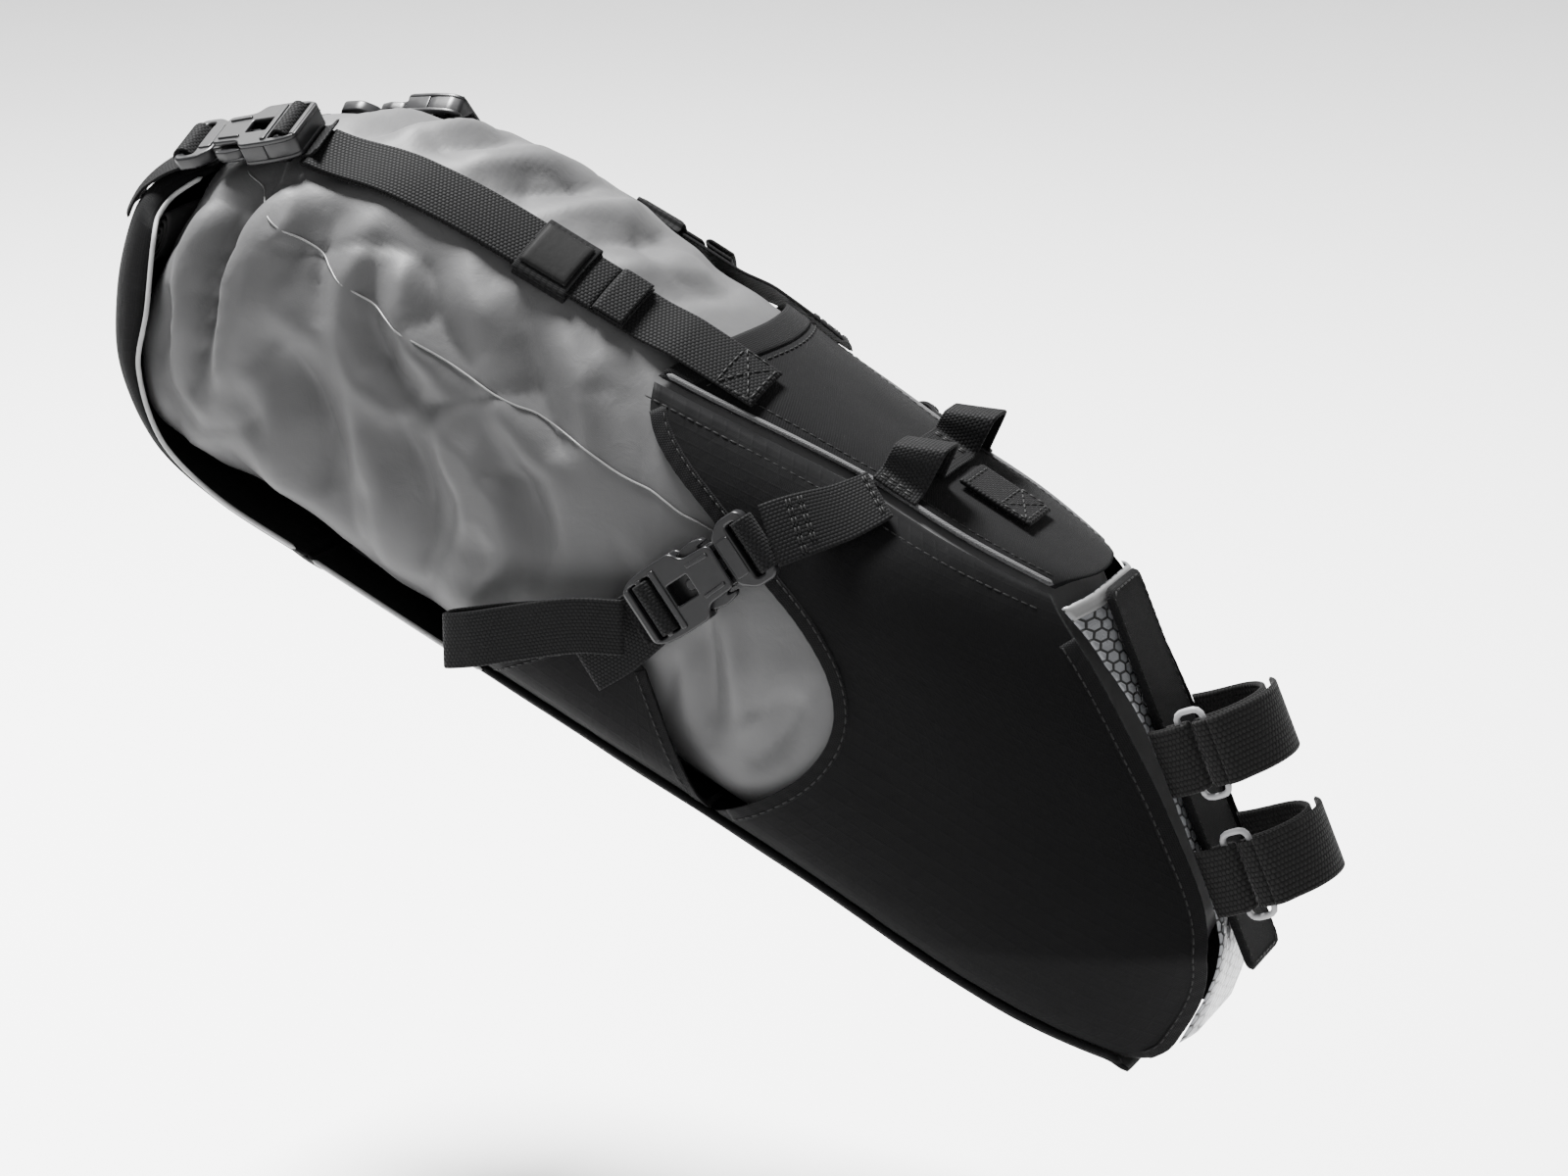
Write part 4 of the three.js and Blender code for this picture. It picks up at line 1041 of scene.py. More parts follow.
def surface_stitch(route, sign, lift):
    """A line of stitch places and normals over the bag's side."""
    curve = Curve(route)
    count = max(4, int(curve.length / 2))
    line = []
    for k in range(count + 1):
        x, z = curve.at(k / count)
        here = np.array(on_side(x, z, sign, lift))
        ahead = np.array(on_side(x + 1, z, sign, lift))
        above = np.array(on_side(x, z + 1, sign, lift))
        normal = np.cross(ahead - here, above - here)
        normal *= sign * np.sign(normal[1]) if normal[1] else 1
        line.append((here, normal))
    return line


def shifted(route, distance):
    """The route moved sideways by a distance, to the left of its run."""
    curve = Curve(route)
    out = []
    for k in range(25):
        p, t = curve.at(k / 24), curve.tangent(k / 24)
        out.append((p[0] - t[1] * distance, p[1] + t[0] * distance))
    return out


def harness_sides():
    """Both sides' panels and wings, with hems, bindings and stitching along their edges."""
    sheet = patch(Curve(WINDOW), Curve(NOSE_EDGE), Curve(SIDE_FOOT), Curve(SEAM))
    wing = patch(
        Curve(WING_REAR), Curve(WING_FRONT),
        Curve([WING_REAR[0], WING_FRONT[0]]), Curve([WING_REAR[1], WING_FRONT[2]]),
    )
    for side, sign in SIDES.items():
        side_panel("side_panel", sheet, side)
        side_panel("lower_wing", wing, side)
        surface_strip(f"window_hem_{side}", shifted(WINDOW, -2.6)[1:-1], sign, 5.4, 2.35)
        surface_strip(f"nose_edge_binding_{side}", shifted(NOSE_EDGE, 2.0)[1:-2], sign, 4.6, 2.3)
        surface_strip(f"wing_rear_hem_{side}", shifted(WING_REAR, -2.2), sign, 4.6, 2.3)
        surface_strip(f"wing_front_hem_{side}", shifted(WING_FRONT, 2.2), sign, 4.6, 2.3)
        lines = [
            surface_stitch(shifted(WINDOW, -4.4)[1:-1], sign, 2.8),
            surface_stitch(shifted(NOSE_EDGE, 3.6)[1:-2], sign, 2.75),
            surface_stitch(shifted(WING_REAR, -3.6), sign, 2.75),
            surface_stitch(shifted(WING_FRONT, 3.6), sign, 2.75),
            surface_stitch([(x, z - 4.2) for x, z in SEAM], sign, 2.4),
        ]
        stitches(f"side_stitching_{side}", lines, "harness")


def top_panel_point(u, v, offset):
    rear_arch, nose_arch = 14, 8
    edge = TOP_SEAM.at(u)
    across = 2 * v - 1
    x = edge[0] + (1 - across ** 2) * (rear_arch * (1 - u) + nose_arch * u)
    y = across * (half_width(edge[0], edge[1] + 0.9) + 1)
    return (x, y, top_height(x, y * 0.985) + offset)


TOP_SEAM = Curve(SEAM)


def top_panel():
    """The top panel, with rolled seams along its sides and a hem at the rear."""
    def at(u, v):
        slack = 0.3 * noise.noise(Vector((u * 6, v * 5, 2.0)))
        pucker = 0.3 * noise.noise(Vector((u * 34, v * 30, 9.0))) * math.exp(-min(v, 1 - v) / 0.06)
        return top_panel_point(u, v, 2.3 + slack + pucker)
    grid = lay(84, 84, at)
    shell("top_panel_cloth", grid, 1.0, LOOKS["canvas"], "harness", ["top_panel"])
    lines = []
    for side, sign in SIDES.items():
        share = 0.0 if sign < 0 else 1.0
        inward = 1 if sign < 0 else -1
        seam = [top_panel_point(0.01 + 0.98 * k / 40, share + inward * 0.012, 2.7) for k in range(41)]
        tube(f"top_seam_roll_{side}", seam, 1.15, LOOKS["canvas_roll"], "harness")
        lines.append(grid_line(grid, np.linspace(2, 82, 70), [84 * abs(share - 0.07)] * 70, 0.6))
    hem = lay(8, 80, lambda u, v: top_panel_point(0.0 + 0.075 * u, 0.01 + 0.98 * v, 3.1))
    shell("top_panel_rear_hem", hem, 0.8, LOOKS["binding"], "harness", turn=True)
    lines.append(grid_line(grid, [7.6] * 70, np.linspace(3, 81, 70), 0.75))
    stitches("top_stitching", lines, "harness")


TRAY_FRONT = 18
TRAY_WIDTH = 124
FLAP_X = -330
TRAY_CURL = 4.5
FABRIC_OUT = 2.8


def tray_half(x):
    full = TRAY_WIDTH / 2
    harness = half_width(min(x, 10), along(BELLY, x) + 3.4, HARNESS_EXPONENT) + FABRIC_OUT
    return full if x < -252 else min(full, harness)


def rim_curl(across):
    return 1 - (1 - min(1.0, abs(across)) ** 3.2) ** (1 / 3.2)


def tray_point(x, across, drop):
    return (x, across * tray_half(x), along(BELLY, x) - drop + TRAY_CURL * rim_curl(across))


def tray():
    """The bottom tongue that the dry bag lies on, bound along both edges."""
    def at(u, v):
        x = FLAP_X + (TRAY_FRONT - FLAP_X) * u
        slack = 0.35 * noise.noise(Vector((u * 11, v * 4, 5.0)))
        return tray_point(x, 2 * v - 1, 3.0 + slack)
    shares = 0.5 - 0.5 * np.cos(np.linspace(0, math.pi, 61))
    grid = lay(150, 0, at, col_steps=shares)
    shell("tray_cloth", grid, 1.3, LOOKS["nylon"], "harness", ["bottom_panel"])

    def on_belly(u, v):
        x = -325 + 257 * u
        return (x, (2 * v - 1) * 38, along(BELLY, x) - 0.85)
    board = lay(60, 20, on_belly)
    shell("tray_board", board, 0.9, LOOKS["board"], "harness", ["base_board"])
    lines = []
    for side, sign in SIDES.items():
        points = []
        for k in range(14):
            x = FLAP_X + 3 + 76 * k / 13
            points.append((x, sign * (tray_half(x) + 1.4), along(BELLY, x) + 1.2))
        tube(f"tray_piping_cord_{side}", points, 0.9, LOOKS["piping"], "harness", [f"tray_piping_{side}"])
        edge = []
        for k in range(60):
            x = -251 + (TRAY_FRONT - 3 + 251) * k / 59
            edge.append(tray_point(x, sign * 1.0, 3.0))
        tube(f"tray_edge_binding_{side}", edge, 1.3, LOOKS["binding"], "harness")
        under = [tray_point(FLAP_X + 4 + 336 * k / 90, sign * 0.9, 3.75) for k in range(91)]
        lines.append([(p, (0, sign * 0.3, -1)) for p in under])
    stitches("tray_stitching", lines, "harness")


def hinge_cloth():
    """The strip of fabric that the tail flap turns on, from the tray to the flap's foot."""
    def at(u, v):
        return tray_point(FLAP_X + 7 - 15 * u, 2 * v - 1, 4.0 + 0.5 * math.sin(math.pi * u))
    grid = lay(14, 50, at)
    piece = shell("flap_hinge_cloth", grid, 1.0, LOOKS["nylon"], None)
    ends = [to_row(np.array((x, 0.0, along(BELLY, FLAP_X) - 4)), BAG_TILT) for x in (FLAP_X + 5, FLAP_X - 6)]
    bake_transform(piece)


# ---------- tail flap ----------

STRAP_SPREAD = [(-402, 48), (-340, 45.5), (-207, 33)]
TAIL_SHIFT = [(-402, 11), (-340, 7.5), (-207, 2)]
FLAP_SPINE = Curve([
    (FLAP_X - 0.5, -79.2), (-372, -79.5), (-407, -75), (-434, -57), (-450, -30), (-456, -5),
    (-455.5, 6), (-451, 15), (-443, 22.5), (-434, 28.5),
])
FLAP_HALF = [(0, 62), (0.3, 62), (0.6, 62), (0.8, 59), (0.9, 53), (1, 44)]
FLAP_DEPTH = [(0, 4.5), (0.25, 6), (0.5, 18), (0.65, 25), (0.8, 20), (1, 4)]


def flap_point(u, across, depth):
    """A point of the tail flap: u runs up its spine, across from edge to edge, depth in from outside."""
    p, t = FLAP_SPINE.at(u), FLAP_SPINE.tangent(u)
    inward = np.array([-t[1], t[0]])
    if (inward[1] < 0 and u < 0.3) or (inward[0] < 0 and u >= 0.3):
        inward = -inward
    p = p + inward * (depth + along(FLAP_DEPTH, u) * rim_curl(across))
    y = across * along(FLAP_HALF, u) + TAIL_SHIFT[0][1] * smoothstep(u, 0.55, 1)
    return (p[0], y, p[1])


def tail_flap():
    """The flap that wraps the dry bag's end, with its piping, edge tape and stitching."""
    def at(u, v):
        across = 2 * v - 1
        slack = 0.35 * noise.noise(Vector((u * 9, v * 6, 11.0)))
        return flap_point(u, across, 1.1 + slack)
    shares = 0.5 - 0.5 * np.cos(np.linspace(0, math.pi, 71))
    grid = lay(130, 0, at, col_steps=shares)
    shell("tail_flap_cloth", grid, 1.4, LOOKS["nylon"], "tail_flap", ["tail_flap"])
    lines = []
    for side, sign in SIDES.items():
        rim = []
        for k in range(34):
            x, y, z = flap_point(0.02 + 0.96 * k / 33, sign, 1.1)
            rim.append((x, y + sign * 1.7, z))
        tube(f"flap_piping_cord_{side}", rim, 0.9, LOOKS["piping"], "tail_flap", [f"flap_piping_{side}"])

        def band(u, v, sign=sign):
            return flap_point(0.02 + 0.96 * u, sign * (0.875 + 0.12 * v), 0.15)
        tape = lay(90, 0, band, col_steps=strap_steps(8, 5))
        shell(f"flap_edge_tape_{side}", tape, 0.5, LOOKS["binding"], "tail_flap")
        line = []
        for k in range(120):
            u = 0.02 + 0.96 * k / 119
            here = np.array(flap_point(u, sign * 0.86, 0.3))
            line.append((here, np.array(flap_point(u, sign * 0.86, -1.0)) - here))
        lines.append(line)
    top = lay(6, 40, lambda u, v: flap_point(0.965 + 0.03 * u, (2 * v - 1) * 0.97, 0.2))
    shell("flap_top_hem", top, 0.6, LOOKS["binding"], "tail_flap", turn=True)
    stitches("flap_stitching", lines, "tail_flap")


def light_loops():
    """Webbing up the back of the flap, tacked down between its lamp loops."""
    low, high = 0.52, 0.86

    def bow(u):
        return 5 * max(0.0, math.sin(u * 4 * math.pi - math.pi / 2)) ** 0.7

    def at(u, v):
        return flap_point(low + (high - low) * u, (2 * v - 1) * 0.15, -(1.15 + bow(u)))
    shell(
        "light_loop_tape", lay(110, 0, at, col_steps=strap_steps(18, 7)), 1.25, LOOKS["webbing"],
        "tail_flap", ["light_loop_webbing"],
    )
    lines = []
    for u in (0.03, 0.06, 0.48, 0.5, 0.52, 0.94, 0.97):
        line = []
        for k in range(14):
            share = (2 * k / 13 - 1) * 0.13
            here = np.array(flap_point(low + (high - low) * u, share, -(1.8 + bow(u))))
            there = np.array(flap_point(low + (high - low) * u, share, -(3.8 + bow(u))))
            line.append((here, there - here))
        lines.append(line)
    stitches("light_loop_tacks", lines, "tail_flap", size=0.4)


harness_sides()
top_panel()
tray()
hinge_cloth()
tail_flap()
light_loops()


# ---------- buckles ----------

BUCKLE_WIDTH = 27
BUCKLE_BASE = 16
TAIL_BUCKLES = {
    "right": {"bar": (-443, 28.5), "ladder": (-401, 61), "lean": -0.3},
    "left": {"bar": (-426, 23.1), "ladder": (-381.5, 51.9), "lean": 1.05},
}
SIDE_BUCKLE = {"bar": (-176, 36), "ladder": (-202, -13), "bar_lift": 13.5, "ladder_lift": 11.6}


def rounded_outline(points, radius, steps=5):
    """A closed outline with its corners rounded off."""
    out = []
    count = len(points)
    for i in range(count):
        p = np.array(points[i], dtype=float)
        before = np.array(points[i - 1], dtype=float) - p
        after = np.array(points[(i + 1) % count], dtype=float) - p
        cut = min(radius, 0.45 * np.linalg.norm(before), 0.45 * np.linalg.norm(after))
        a = p + before / np.linalg.norm(before) * cut
        b = p + after / np.linalg.norm(after) * cut
        for k in range(steps + 1):
            t = k / steps
            out.append((1 - t) ** 2 * a + 2 * t * (1 - t) * p + t * t * b)
    return out


def plate(outline, low, high, ease=0.5, holes=(), corner=1.5, hole_corner=0.8):
    """A flat plate with rounded edges between two heights, as lists of vertices and faces."""
    data = bpy.data.curves.new("plate", "CURVE")
    data.dimensions = "2D"
    data.fill_mode = "BOTH"
    data.extrude = max(0.0, (high - low) / 2 - ease)
    data.bevel_depth = ease
    data.bevel_resolution = 2
    data.offset = -ease
    outlines = [rounded_outline(outline, corner)] + [rounded_outline(h, hole_corner) for h in holes]
    for points in outlines:
        spline = data.splines.new("POLY")
        spline.points.add(len(points) - 1)
        for q, (x, y) in zip(spline.points, points):
            q.co = (x, y, 0, 1)
        spline.use_cyclic_u = True
    piece = bpy.data.objects.new("plate", data)
    mesh = bpy.data.meshes.new_from_object(piece)
    vertices = [(v.co.x, v.co.y, v.co.z + (low + high) / 2) for v in mesh.vertices]
    faces = [tuple(p.vertices) for p in mesh.polygons]
    bpy.data.objects.remove(piece)
    bpy.data.curves.remove(data)
    bpy.data.meshes.remove(mesh)
    return vertices, faces


def both_edges(points):
    """A closed outline from its points with y above zero, mirrored in the X axis."""
    return [(x, -y) for x, y in points] + [(x, y) for x, y in reversed(points)]


def rectangle(x0, x1, half):
    return [(x0, -half), (x1, -half), (x1, half), (x0, half)]


def female_plates():
    w = BUCKLE_WIDTH / 2
    outline = both_edges([(0, 8.6), (11.5, 9.2), (14, w), (26, w), (33, w - 0.8), (37, w - 3)])
    slots = [rectangle(25.2, 28.2, 10.6), rectangle(30.8, 34, 10.6)]
    grip = rectangle(12.5, 21.5, 4)
    arch = both_edges([(22.6, 10.2), (23.4, w - 0.6), (26, w - 0.4), (33, w - 1), (36.8, w - 3.2)])
    return [
        plate(outline, 2.6, 4.5, 0.6, slots + [grip], 2.2),
        plate(outline, -4.5, -2.6, 0.6, slots, 2.2),
        plate(arch, -2.9, 2.9, 0.3, slots, 1.2),
        plate([(13.6, 10.9), (24, 10.9), (24, w - 0.2), (14.2, w - 0.2)], -2.9, 2.9, 0.3, (), 0.6),
        plate([(13.6, -10.9), (24, -10.9), (24, 0.2 - w), (14.2, 0.2 - w)], -2.9, 2.9, 0.3, (), 0.6),
        plate([(2, 5), (11, 5.4), (11, 6.9), (2, 6.5)], 4.2, 5.1, 0.35, (), 0.5),
        plate([(2, -5), (11, -5.4), (11, -6.9), (2, -6.5)], 4.2, 5.1, 0.35, (), 0.5),
        plate(rectangle(22.3, 24.6, 11.6), 4.1, 5.2, 0.45, (), 0.9),
        plate(rectangle(28.4, 30.6, 11.2), 3.4, 5.0, 0.5, (), 0.6),
        plate(rectangle(34.2, 36.4, 10.4), 3.2, 4.9, 0.5, (), 0.6),
    ]


def male_plates():
    w = BUCKLE_WIDTH / 2
    base = both_edges([(-16, w - 2), (-14, w), (-6.5, w), (-0.6, 9)])
    slot = rectangle(-12.2, -8.2, 10.4)
    plates = [
        plate(base, -2.5, 2.5, 0.9, [slot], 2.4, 1.4),
        plate(both_edges([(-2, 2.2), (15, 2.2), (16, 1.2)]), -1.8, 1.8, 0.5, (), 0.8),
        plate(rectangle(-7.4, -2.0, 7.5), 2.0, 3.0, 0.4, (), 1.4),
    ]
    for s in (1, -1):
        prong = [
            (-2, 5.4 * s), (17, 6.2 * s), (18, 8 * s), (13.4, 10.2 * s), (11.6, 11.8 * s), (6.5, 12.6 * s),
            (2, 11.6 * s), (1, 10 * s), (5, 9.6 * s), (3, 8.2 * s), (-2, 8 * s),
        ]
        plates.append(plate(prong, -1.8, 1.8, 0.5, (), 1.1))
    return plates


def buckle_place(bar, ladder, outward):
    """The frame of a buckle: x along the pull from its mouth, z out of the bag; in millimetres."""
    pull = (ladder - bar) / np.linalg.norm(ladder - bar)
    across = np.cross(outward, pull)
    across /= np.linalg.norm(across)
    out = np.cross(pull, across)
    return bar + pull * BUCKLE_BASE, np.stack([pull, across, out])


def placed(vertices, place):
    origin, axes = place
    return origin + np.array(vertices, dtype=float) @ axes


def moulding(name, plates, place, body, node):
    vertices, faces = [], []
    for points, polygons in plates:
        first = len(vertices)
        vertices += points
        faces += [tuple(first + i for i in polygon) for polygon in polygons]
    mesh = bpy.data.meshes.new(name)
    mesh.from_pydata(to_row(placed(vertices, place), BAG_TILT).tolist(), [], faces)
    mesh.validate()
    mesh.update()
    material, slot = LOOKS["plastic"]
    finish_piece(name, mesh, material, body, [node])
    mesh.set_sharp_from_angle(angle=math.radians(40))


def buckle_loop(name, route, place, body, width=WEBBING):
    """Webbing round a buckle's bar, its route given in the buckle's own (x, z)."""
    curve = Curve(route)
    steps = max(16, int(curve.length / 0.8))

    def at(u, v):
        x, z = curve.at(u)
        return placed((x, (2 * v - 1) * width / 2, z), place)
    shell(name, lay(steps, 0, at, col_steps=strap_steps(width, 7)), WEBBING_THICK, LOOKS["webbing"], body)


# Webbing round the ladder bars and round the male half's bar, in the buckle's own x and z.
LADDER_ROUTE = [
    (43, -3.2), (38, -5.6), (33.4, -3.8), (32.3, 1), (31.6, 5.2), (29.4, 6.3), (27.2, 5.2),
    (26.6, 0), (26.2, -5.2), (30, -6.8),
]
BAR_ROUTE = [
    (-7.5, -3.9), (-9.6, -2.4), (-10.4, 0.8), (-12.2, 3.5), (-14.6, 3.6), (-17.0, 2.2), (-17.6, -0.6),
    (-16, -3.4),
]


def buckle(place_name, side, place, female_body, male_body, bar_width):
    """Both halves of a side-release buckle and the webbing round their bars."""
    end = f"{place_name}_{{}}_{side}".format
    node = f"{place_name}_buckle_{{}}_{side}".format
    moulding(end("female"), female_plates(), place, female_body, node("female"))
    moulding(end("male"), male_plates(), place, male_body, node("male"))
    buckle_loop(end("ladder_webbing"), LADDER_ROUTE, place, female_body)
    buckle_loop(end("bar_webbing"), BAR_ROUTE, place, male_body, bar_width)


def all_buckles():
    """The four buckles; gives back the frames of the two at the tail."""
    places = {}
    for side, sign in SIDES.items():
        spec = TAIL_BUCKLES[side]
        ends = [np.array((x, strap_line(x, sign), z), dtype=float) for x, z in (spec["bar"], spec["ladder"])]
        places[side] = buckle_place(*ends, np.array((0, spec["lean"], 1.0)))
        ends = []
        for end in ("bar", "ladder"):
            x, z = SIDE_BUCKLE[end]
            y = sign * (half_width(x, z) + SIDE_BUCKLE[f"{end}_lift"])
            ends.append(np.array((x, y, z), dtype=float))
        flank = buckle_place(*ends, np.array((0, sign, 0.0)))
        buckle("tail", side, places[side], "harness", "tail_flap", 18)
        buckle("side", side, flank, f"side_buckle_{side}", "harness", WEBBING)
    return places


def strap_line(x, sign):
    return sign * along(STRAP_SPREAD, x) + along(TAIL_SHIFT, x)


def strap_drop(sign):
    x = STRAP_SPREAD[0][0]
    return top_height(x, strap_line(x, -1)) - top_height(x, strap_line(x, sign))


# ---------- top compression straps ----------

STRAP_LIFT = 2.6
PANEL_STRAP_LIFT = 5
PANEL_REAR = -236
STRAP_FRONT = -207
STRAP_REAR = {"right": -397, "left": -376}
TAIL_LAYER_FRONT = -274
TAUT = [(-402, 54.5), (-385, 57.5), (-366, 64), (-350, 69)]
SECOND_LAYER = WEBBING_THICK + 0.4
KEEPER_X = -295
KEEPER_HALF = 11


def top_strap_point(x, sign, across, lift):
    line = strap_line(x, sign)
    slope = (top_height(x, line + 1) - top_height(x, line - 1)) / 2
    normal = np.array((0, -slope, 1.0))
    normal /= np.linalg.norm(normal)
    y = line + across * WEBBING * normal[2] / 2
    panel = smoothstep(x, PANEL_REAR - 22, PANEL_REAR - 3)
    free = 1 - smoothstep(x, -385, -350)
    taut = max(along(TAUT, x) - strap_drop(sign) + slope * (y - line), top_height(x, y) + 1)
    lying = STRAP_LIFT + (PANEL_STRAP_LIFT - STRAP_LIFT) * panel
    base = np.array((x, y, mix(top_height(x, y), taut, free)))
    return base + normal * (lift + lying * (1 - free))


def strap_run(name, sign, low, lift, high, node):
    """One layer of a top strap between two places of the bag's axis; gives back its grid."""
    def at(u, v):
        return top_strap_point(mix(low, high, u), sign, 2 * v - 1, lift + WEBBING_THICK / 2)
    grid = lay(max(12, int((high - low) / 1.4)), 0, at, col_steps=strap_steps())
    shell(name, grid, WEBBING_THICK, LOOKS["webbing"], "harness", [node])
    return grid


def box_stitch(grid, rows, cols, lift):
    """Lines of stitching round a box and across it."""
    r0, r1 = rows
    c0, c1 = cols
    count = 14
    runs = [
        ((r0, c0), (r0, c1)), ((r0, c1), (r1, c1)), ((r1, c1), (r1, c0)), ((r1, c0), (r0, c0)),
        ((r0, c0), (r1, c1)), ((r0, c1), (r1, c0)),
    ]
    lines = []
    for (ra, ca), (rb, cb) in runs:
        lines.append(grid_line(grid, np.linspace(ra, rb, count), np.linspace(ca, cb, count), lift))
    return lines


def sleeve(side, sign):
    """A flat elastic sleeve round both layers of the strap, with its smooth patch on top."""
    wide = 1 + 0.9 / (WEBBING / 2)
    low, high = -0.9, 2 * WEBBING_THICK + 0.4 + 1.05
    loop = Curve([
        (0, high), (0.6 * wide, high), (0.97 * wide, high - 0.1), (wide, (low + high) / 2),
        (0.97 * wide, low + 0.1), (0.5 * wide, low), (0, low), (-0.5 * wide, low),
        (-0.97 * wide, low + 0.1), (-wide, (low + high) / 2), (-0.97 * wide, high - 0.1),
        (-0.6 * wide, high), (0, high),
    ])

    def at(u, v):
        across, lift = loop.at(u)
        return top_strap_point(KEEPER_X + KEEPER_HALF * (2 * v - 1), sign, across, lift)

    def on_top(u, v):
        x = KEEPER_X + KEEPER_HALF * (1.75 * v - 0.9)
        return top_strap_point(x, sign, (2 * u - 1) * 0.92, high + 0.9 + 0.25 * math.sin(math.pi * u))
    name, body = f"keeper_sleeve_{side}", f"keeper_{side}"
    grid = lay(110, 0, at, col_steps=strap_steps(2 * KEEPER_HALF, 7))
    shell(name, grid, 0.8, LOOKS["elastic"], body, [f"strap_keeper_{side}"], ends=0.0)
    shell(f"{name}_patch", lay(14, 14, on_top), 0.9, LOOKS["smooth_tab"], body)


def top_straps():
    """The two top compression straps with their free tails, folded ends and keepers."""
    for side, sign in SIDES.items():
        rear = STRAP_REAR[side]
        grid = strap_run(f"top_strap_webbing_{side}", sign, rear, 0, STRAP_FRONT, f"top_strap_{side}")
        last = grid.shape[0] - 1
        columns = grid.shape[1] - 1
        lines = box_stitch(grid, (last - 11, last - 1.5), (3.5, columns - 3.5), 0.75)
        stitches(f"top_strap_box_stitch_{side}", lines, "harness", size=0.42)
        strap_run(
            f"top_strap_free_tail_{side}", sign, rear + 2, SECOND_LAYER, TAIL_LAYER_FRONT,
            f"top_strap_tail_{side}",
        )
        fold = Curve([(13, 0.65), (4, 0.65), (1.2, 0.9), (0.6, 1.7), (1.4, 2.5), (5, 2.7), (12.6, 2.7)])

        def folded(u, v, sign=sign, fold=fold):
            run, lift = fold.at(u)
            return top_strap_point(TAIL_LAYER_FRONT + run, sign, 2 * v - 1, SECOND_LAYER + lift)
        shell(
            f"top_strap_folded_end_{side}", lay(60, 0, folded, col_steps=strap_steps()), 1.15,
            LOOKS["webbing"], "harness", [f"strap_tail_end_{side}"],
        )
        sleeve(side, sign)


def flap_tabs():
    """The sewn feet of the webbing tabs on the flap."""
    for side, sign in SIDES.items():
        foot = 0.86 if side == "left" else 0.8

        def at(u, v, sign=sign, foot=foot):
            across = (sign * STRAP_SPREAD[0][1] * 0.9 + (2 * v - 1) * 9.5) / along(FLAP_HALF, 0.86)
            return flap_point(foot + 0.1 * u, across, -2.4)
        shell(
            f"flap_tab_webbing_{side}", lay(30, 0, at, col_steps=strap_steps(19, 7)), 1.15,
            LOOKS["webbing"], "tail_flap", [f"flap_tab_{side}"],
        )


def tab_links(places):
    """The run of each flap tab from the flap's upper edge to the bar of its buckle half."""
    for side, sign in SIDES.items():
        place = places[side]
        foot = 0.9 if side == "left" else 0.86

        def at(u, v, sign=sign, place=place, foot=foot):
            across = (sign * STRAP_SPREAD[0][1] * 0.9 + (2 * v - 1) * 9) / along(FLAP_HALF, 0.86)
            start = np.array(flap_point(foot, across, -2.2))
            end = placed((-13.2, (2 * v - 1) * 9, -3.3), place)
            bow = 1.2 * math.sin(math.pi * u)
            return start + (end - start) * u + place[1][2] * bow
        shell(
            f"flap_tab_link_{side}", lay(26, 0, at, col_steps=strap_steps(18, 7)), 1.15,
            LOOKS["webbing"], "tail_flap",
        )


# ---------- rail strap and side straps ----------

RAIL_CLEAR = 15
RAIL_STRAP_X = -150
TOP_PANEL_OUT = 3.3


def rail_strap():
    """Webbing over the top panel, raised in two arches for the saddle rails."""
    half = [
        (0, 0), (12.5, 0), (14.2, 0.8), (15.0, 4), (15.7, 11), (16.8, 14.4), (19, 15),
        (25, 15), (27.2, 14.4), (28.3, 11), (29.0, 4), (29.8, 0.8), (31.5, 0), (35, 0),
    ]
    route = Curve([(-y, up) for y, up in reversed(half[1:])] + half)
    tilt = math.tan(BAG_TILT)

    def at(u, v):
        y, up = route.at(u)
        share = up / RAIL_CLEAR
        run = (2 * v - 1) * WEBBING / 2 * math.cos(BAG_TILT)
        x = RAIL_STRAP_X + run
        crown = top_height(RAIL_STRAP_X, 0) + RAIL_CLEAR + run * tilt
        panel = top_height(x, y) + TOP_PANEL_OUT + 0.6
        return (x, y, mix(panel, crown, share) + 0.7)
    grid = lay(220, 0, at, col_steps=strap_steps(18, 7))
    shell("rail_strap_webbing", grid, 1.3, LOOKS["webbing"], "harness", ["rail_strap"])
    lines = []
    for y in (-33.5, -32, -11.5, -10, -2, 2, 10, 11.5, 32, 33.5):
        places = [RAIL_STRAP_X + 7.5 * s for s in np.linspace(-1, 1, 9)]
        lines.append([((x, y, top_height(x, y) + TOP_PANEL_OUT + 2.0), (0, 0, 1)) for x in places])
    stitches("rail_strap_tacks", lines, "harness", size=0.42)


def shoulder_point(x, degrees, lift):
    middle, high, _, _, top_n, _ = section_at(x)

    def at(angle):
        c, r = math.cos(angle), math.sin(angle)
        reach = (c ** top_n + r ** top_n) ** (-1 / top_n)
        z = middle + reach * r * (high - middle)
        return np.array((x, reach * c * prow_width(x, z), z))
    a = math.radians(degrees)
    run = at(a + 0.03) - at(a - 0.03)
    run /= np.linalg.norm(run)
    return at(a) + np.array((0, run[2], -run[1])) * lift


def shoulder_straps():
    """The webbing from the top panel down to each side buckle."""
    for side, sign in SIDES.items():
        def at(u, v, sign=sign):
            across = 2 * v - 1
            x = mix(-153, -174, u ** 1.3) + across * 8.8
            lift = 4.7 + 9 * smoothstep(u, 0.35, 1)
            p = shoulder_point(x, mix(54, 31, u) - across * 4, lift)
            return (p[0], p[1] * sign, p[2])
        grid = lay(44, 0, at, col_steps=strap_steps())
        shell(
            f"shoulder_strap_webbing_{side}", grid, 1.3, LOOKS["webbing"], "harness",
            [f"shoulder_strap_{side}"],
        )
        columns = grid.shape[1] - 1
        flip = -sign
        lines = [
            grid_line(grid, np.full(16, row), np.linspace(3.2, columns - 3.2, 16), 0.8 * flip)
            for row in (3, 4.2, 30, 31.2, 34, 35.2)
        ]
        stitches(f"shoulder_strap_tacks_{side}", lines, "harness", size=0.45)


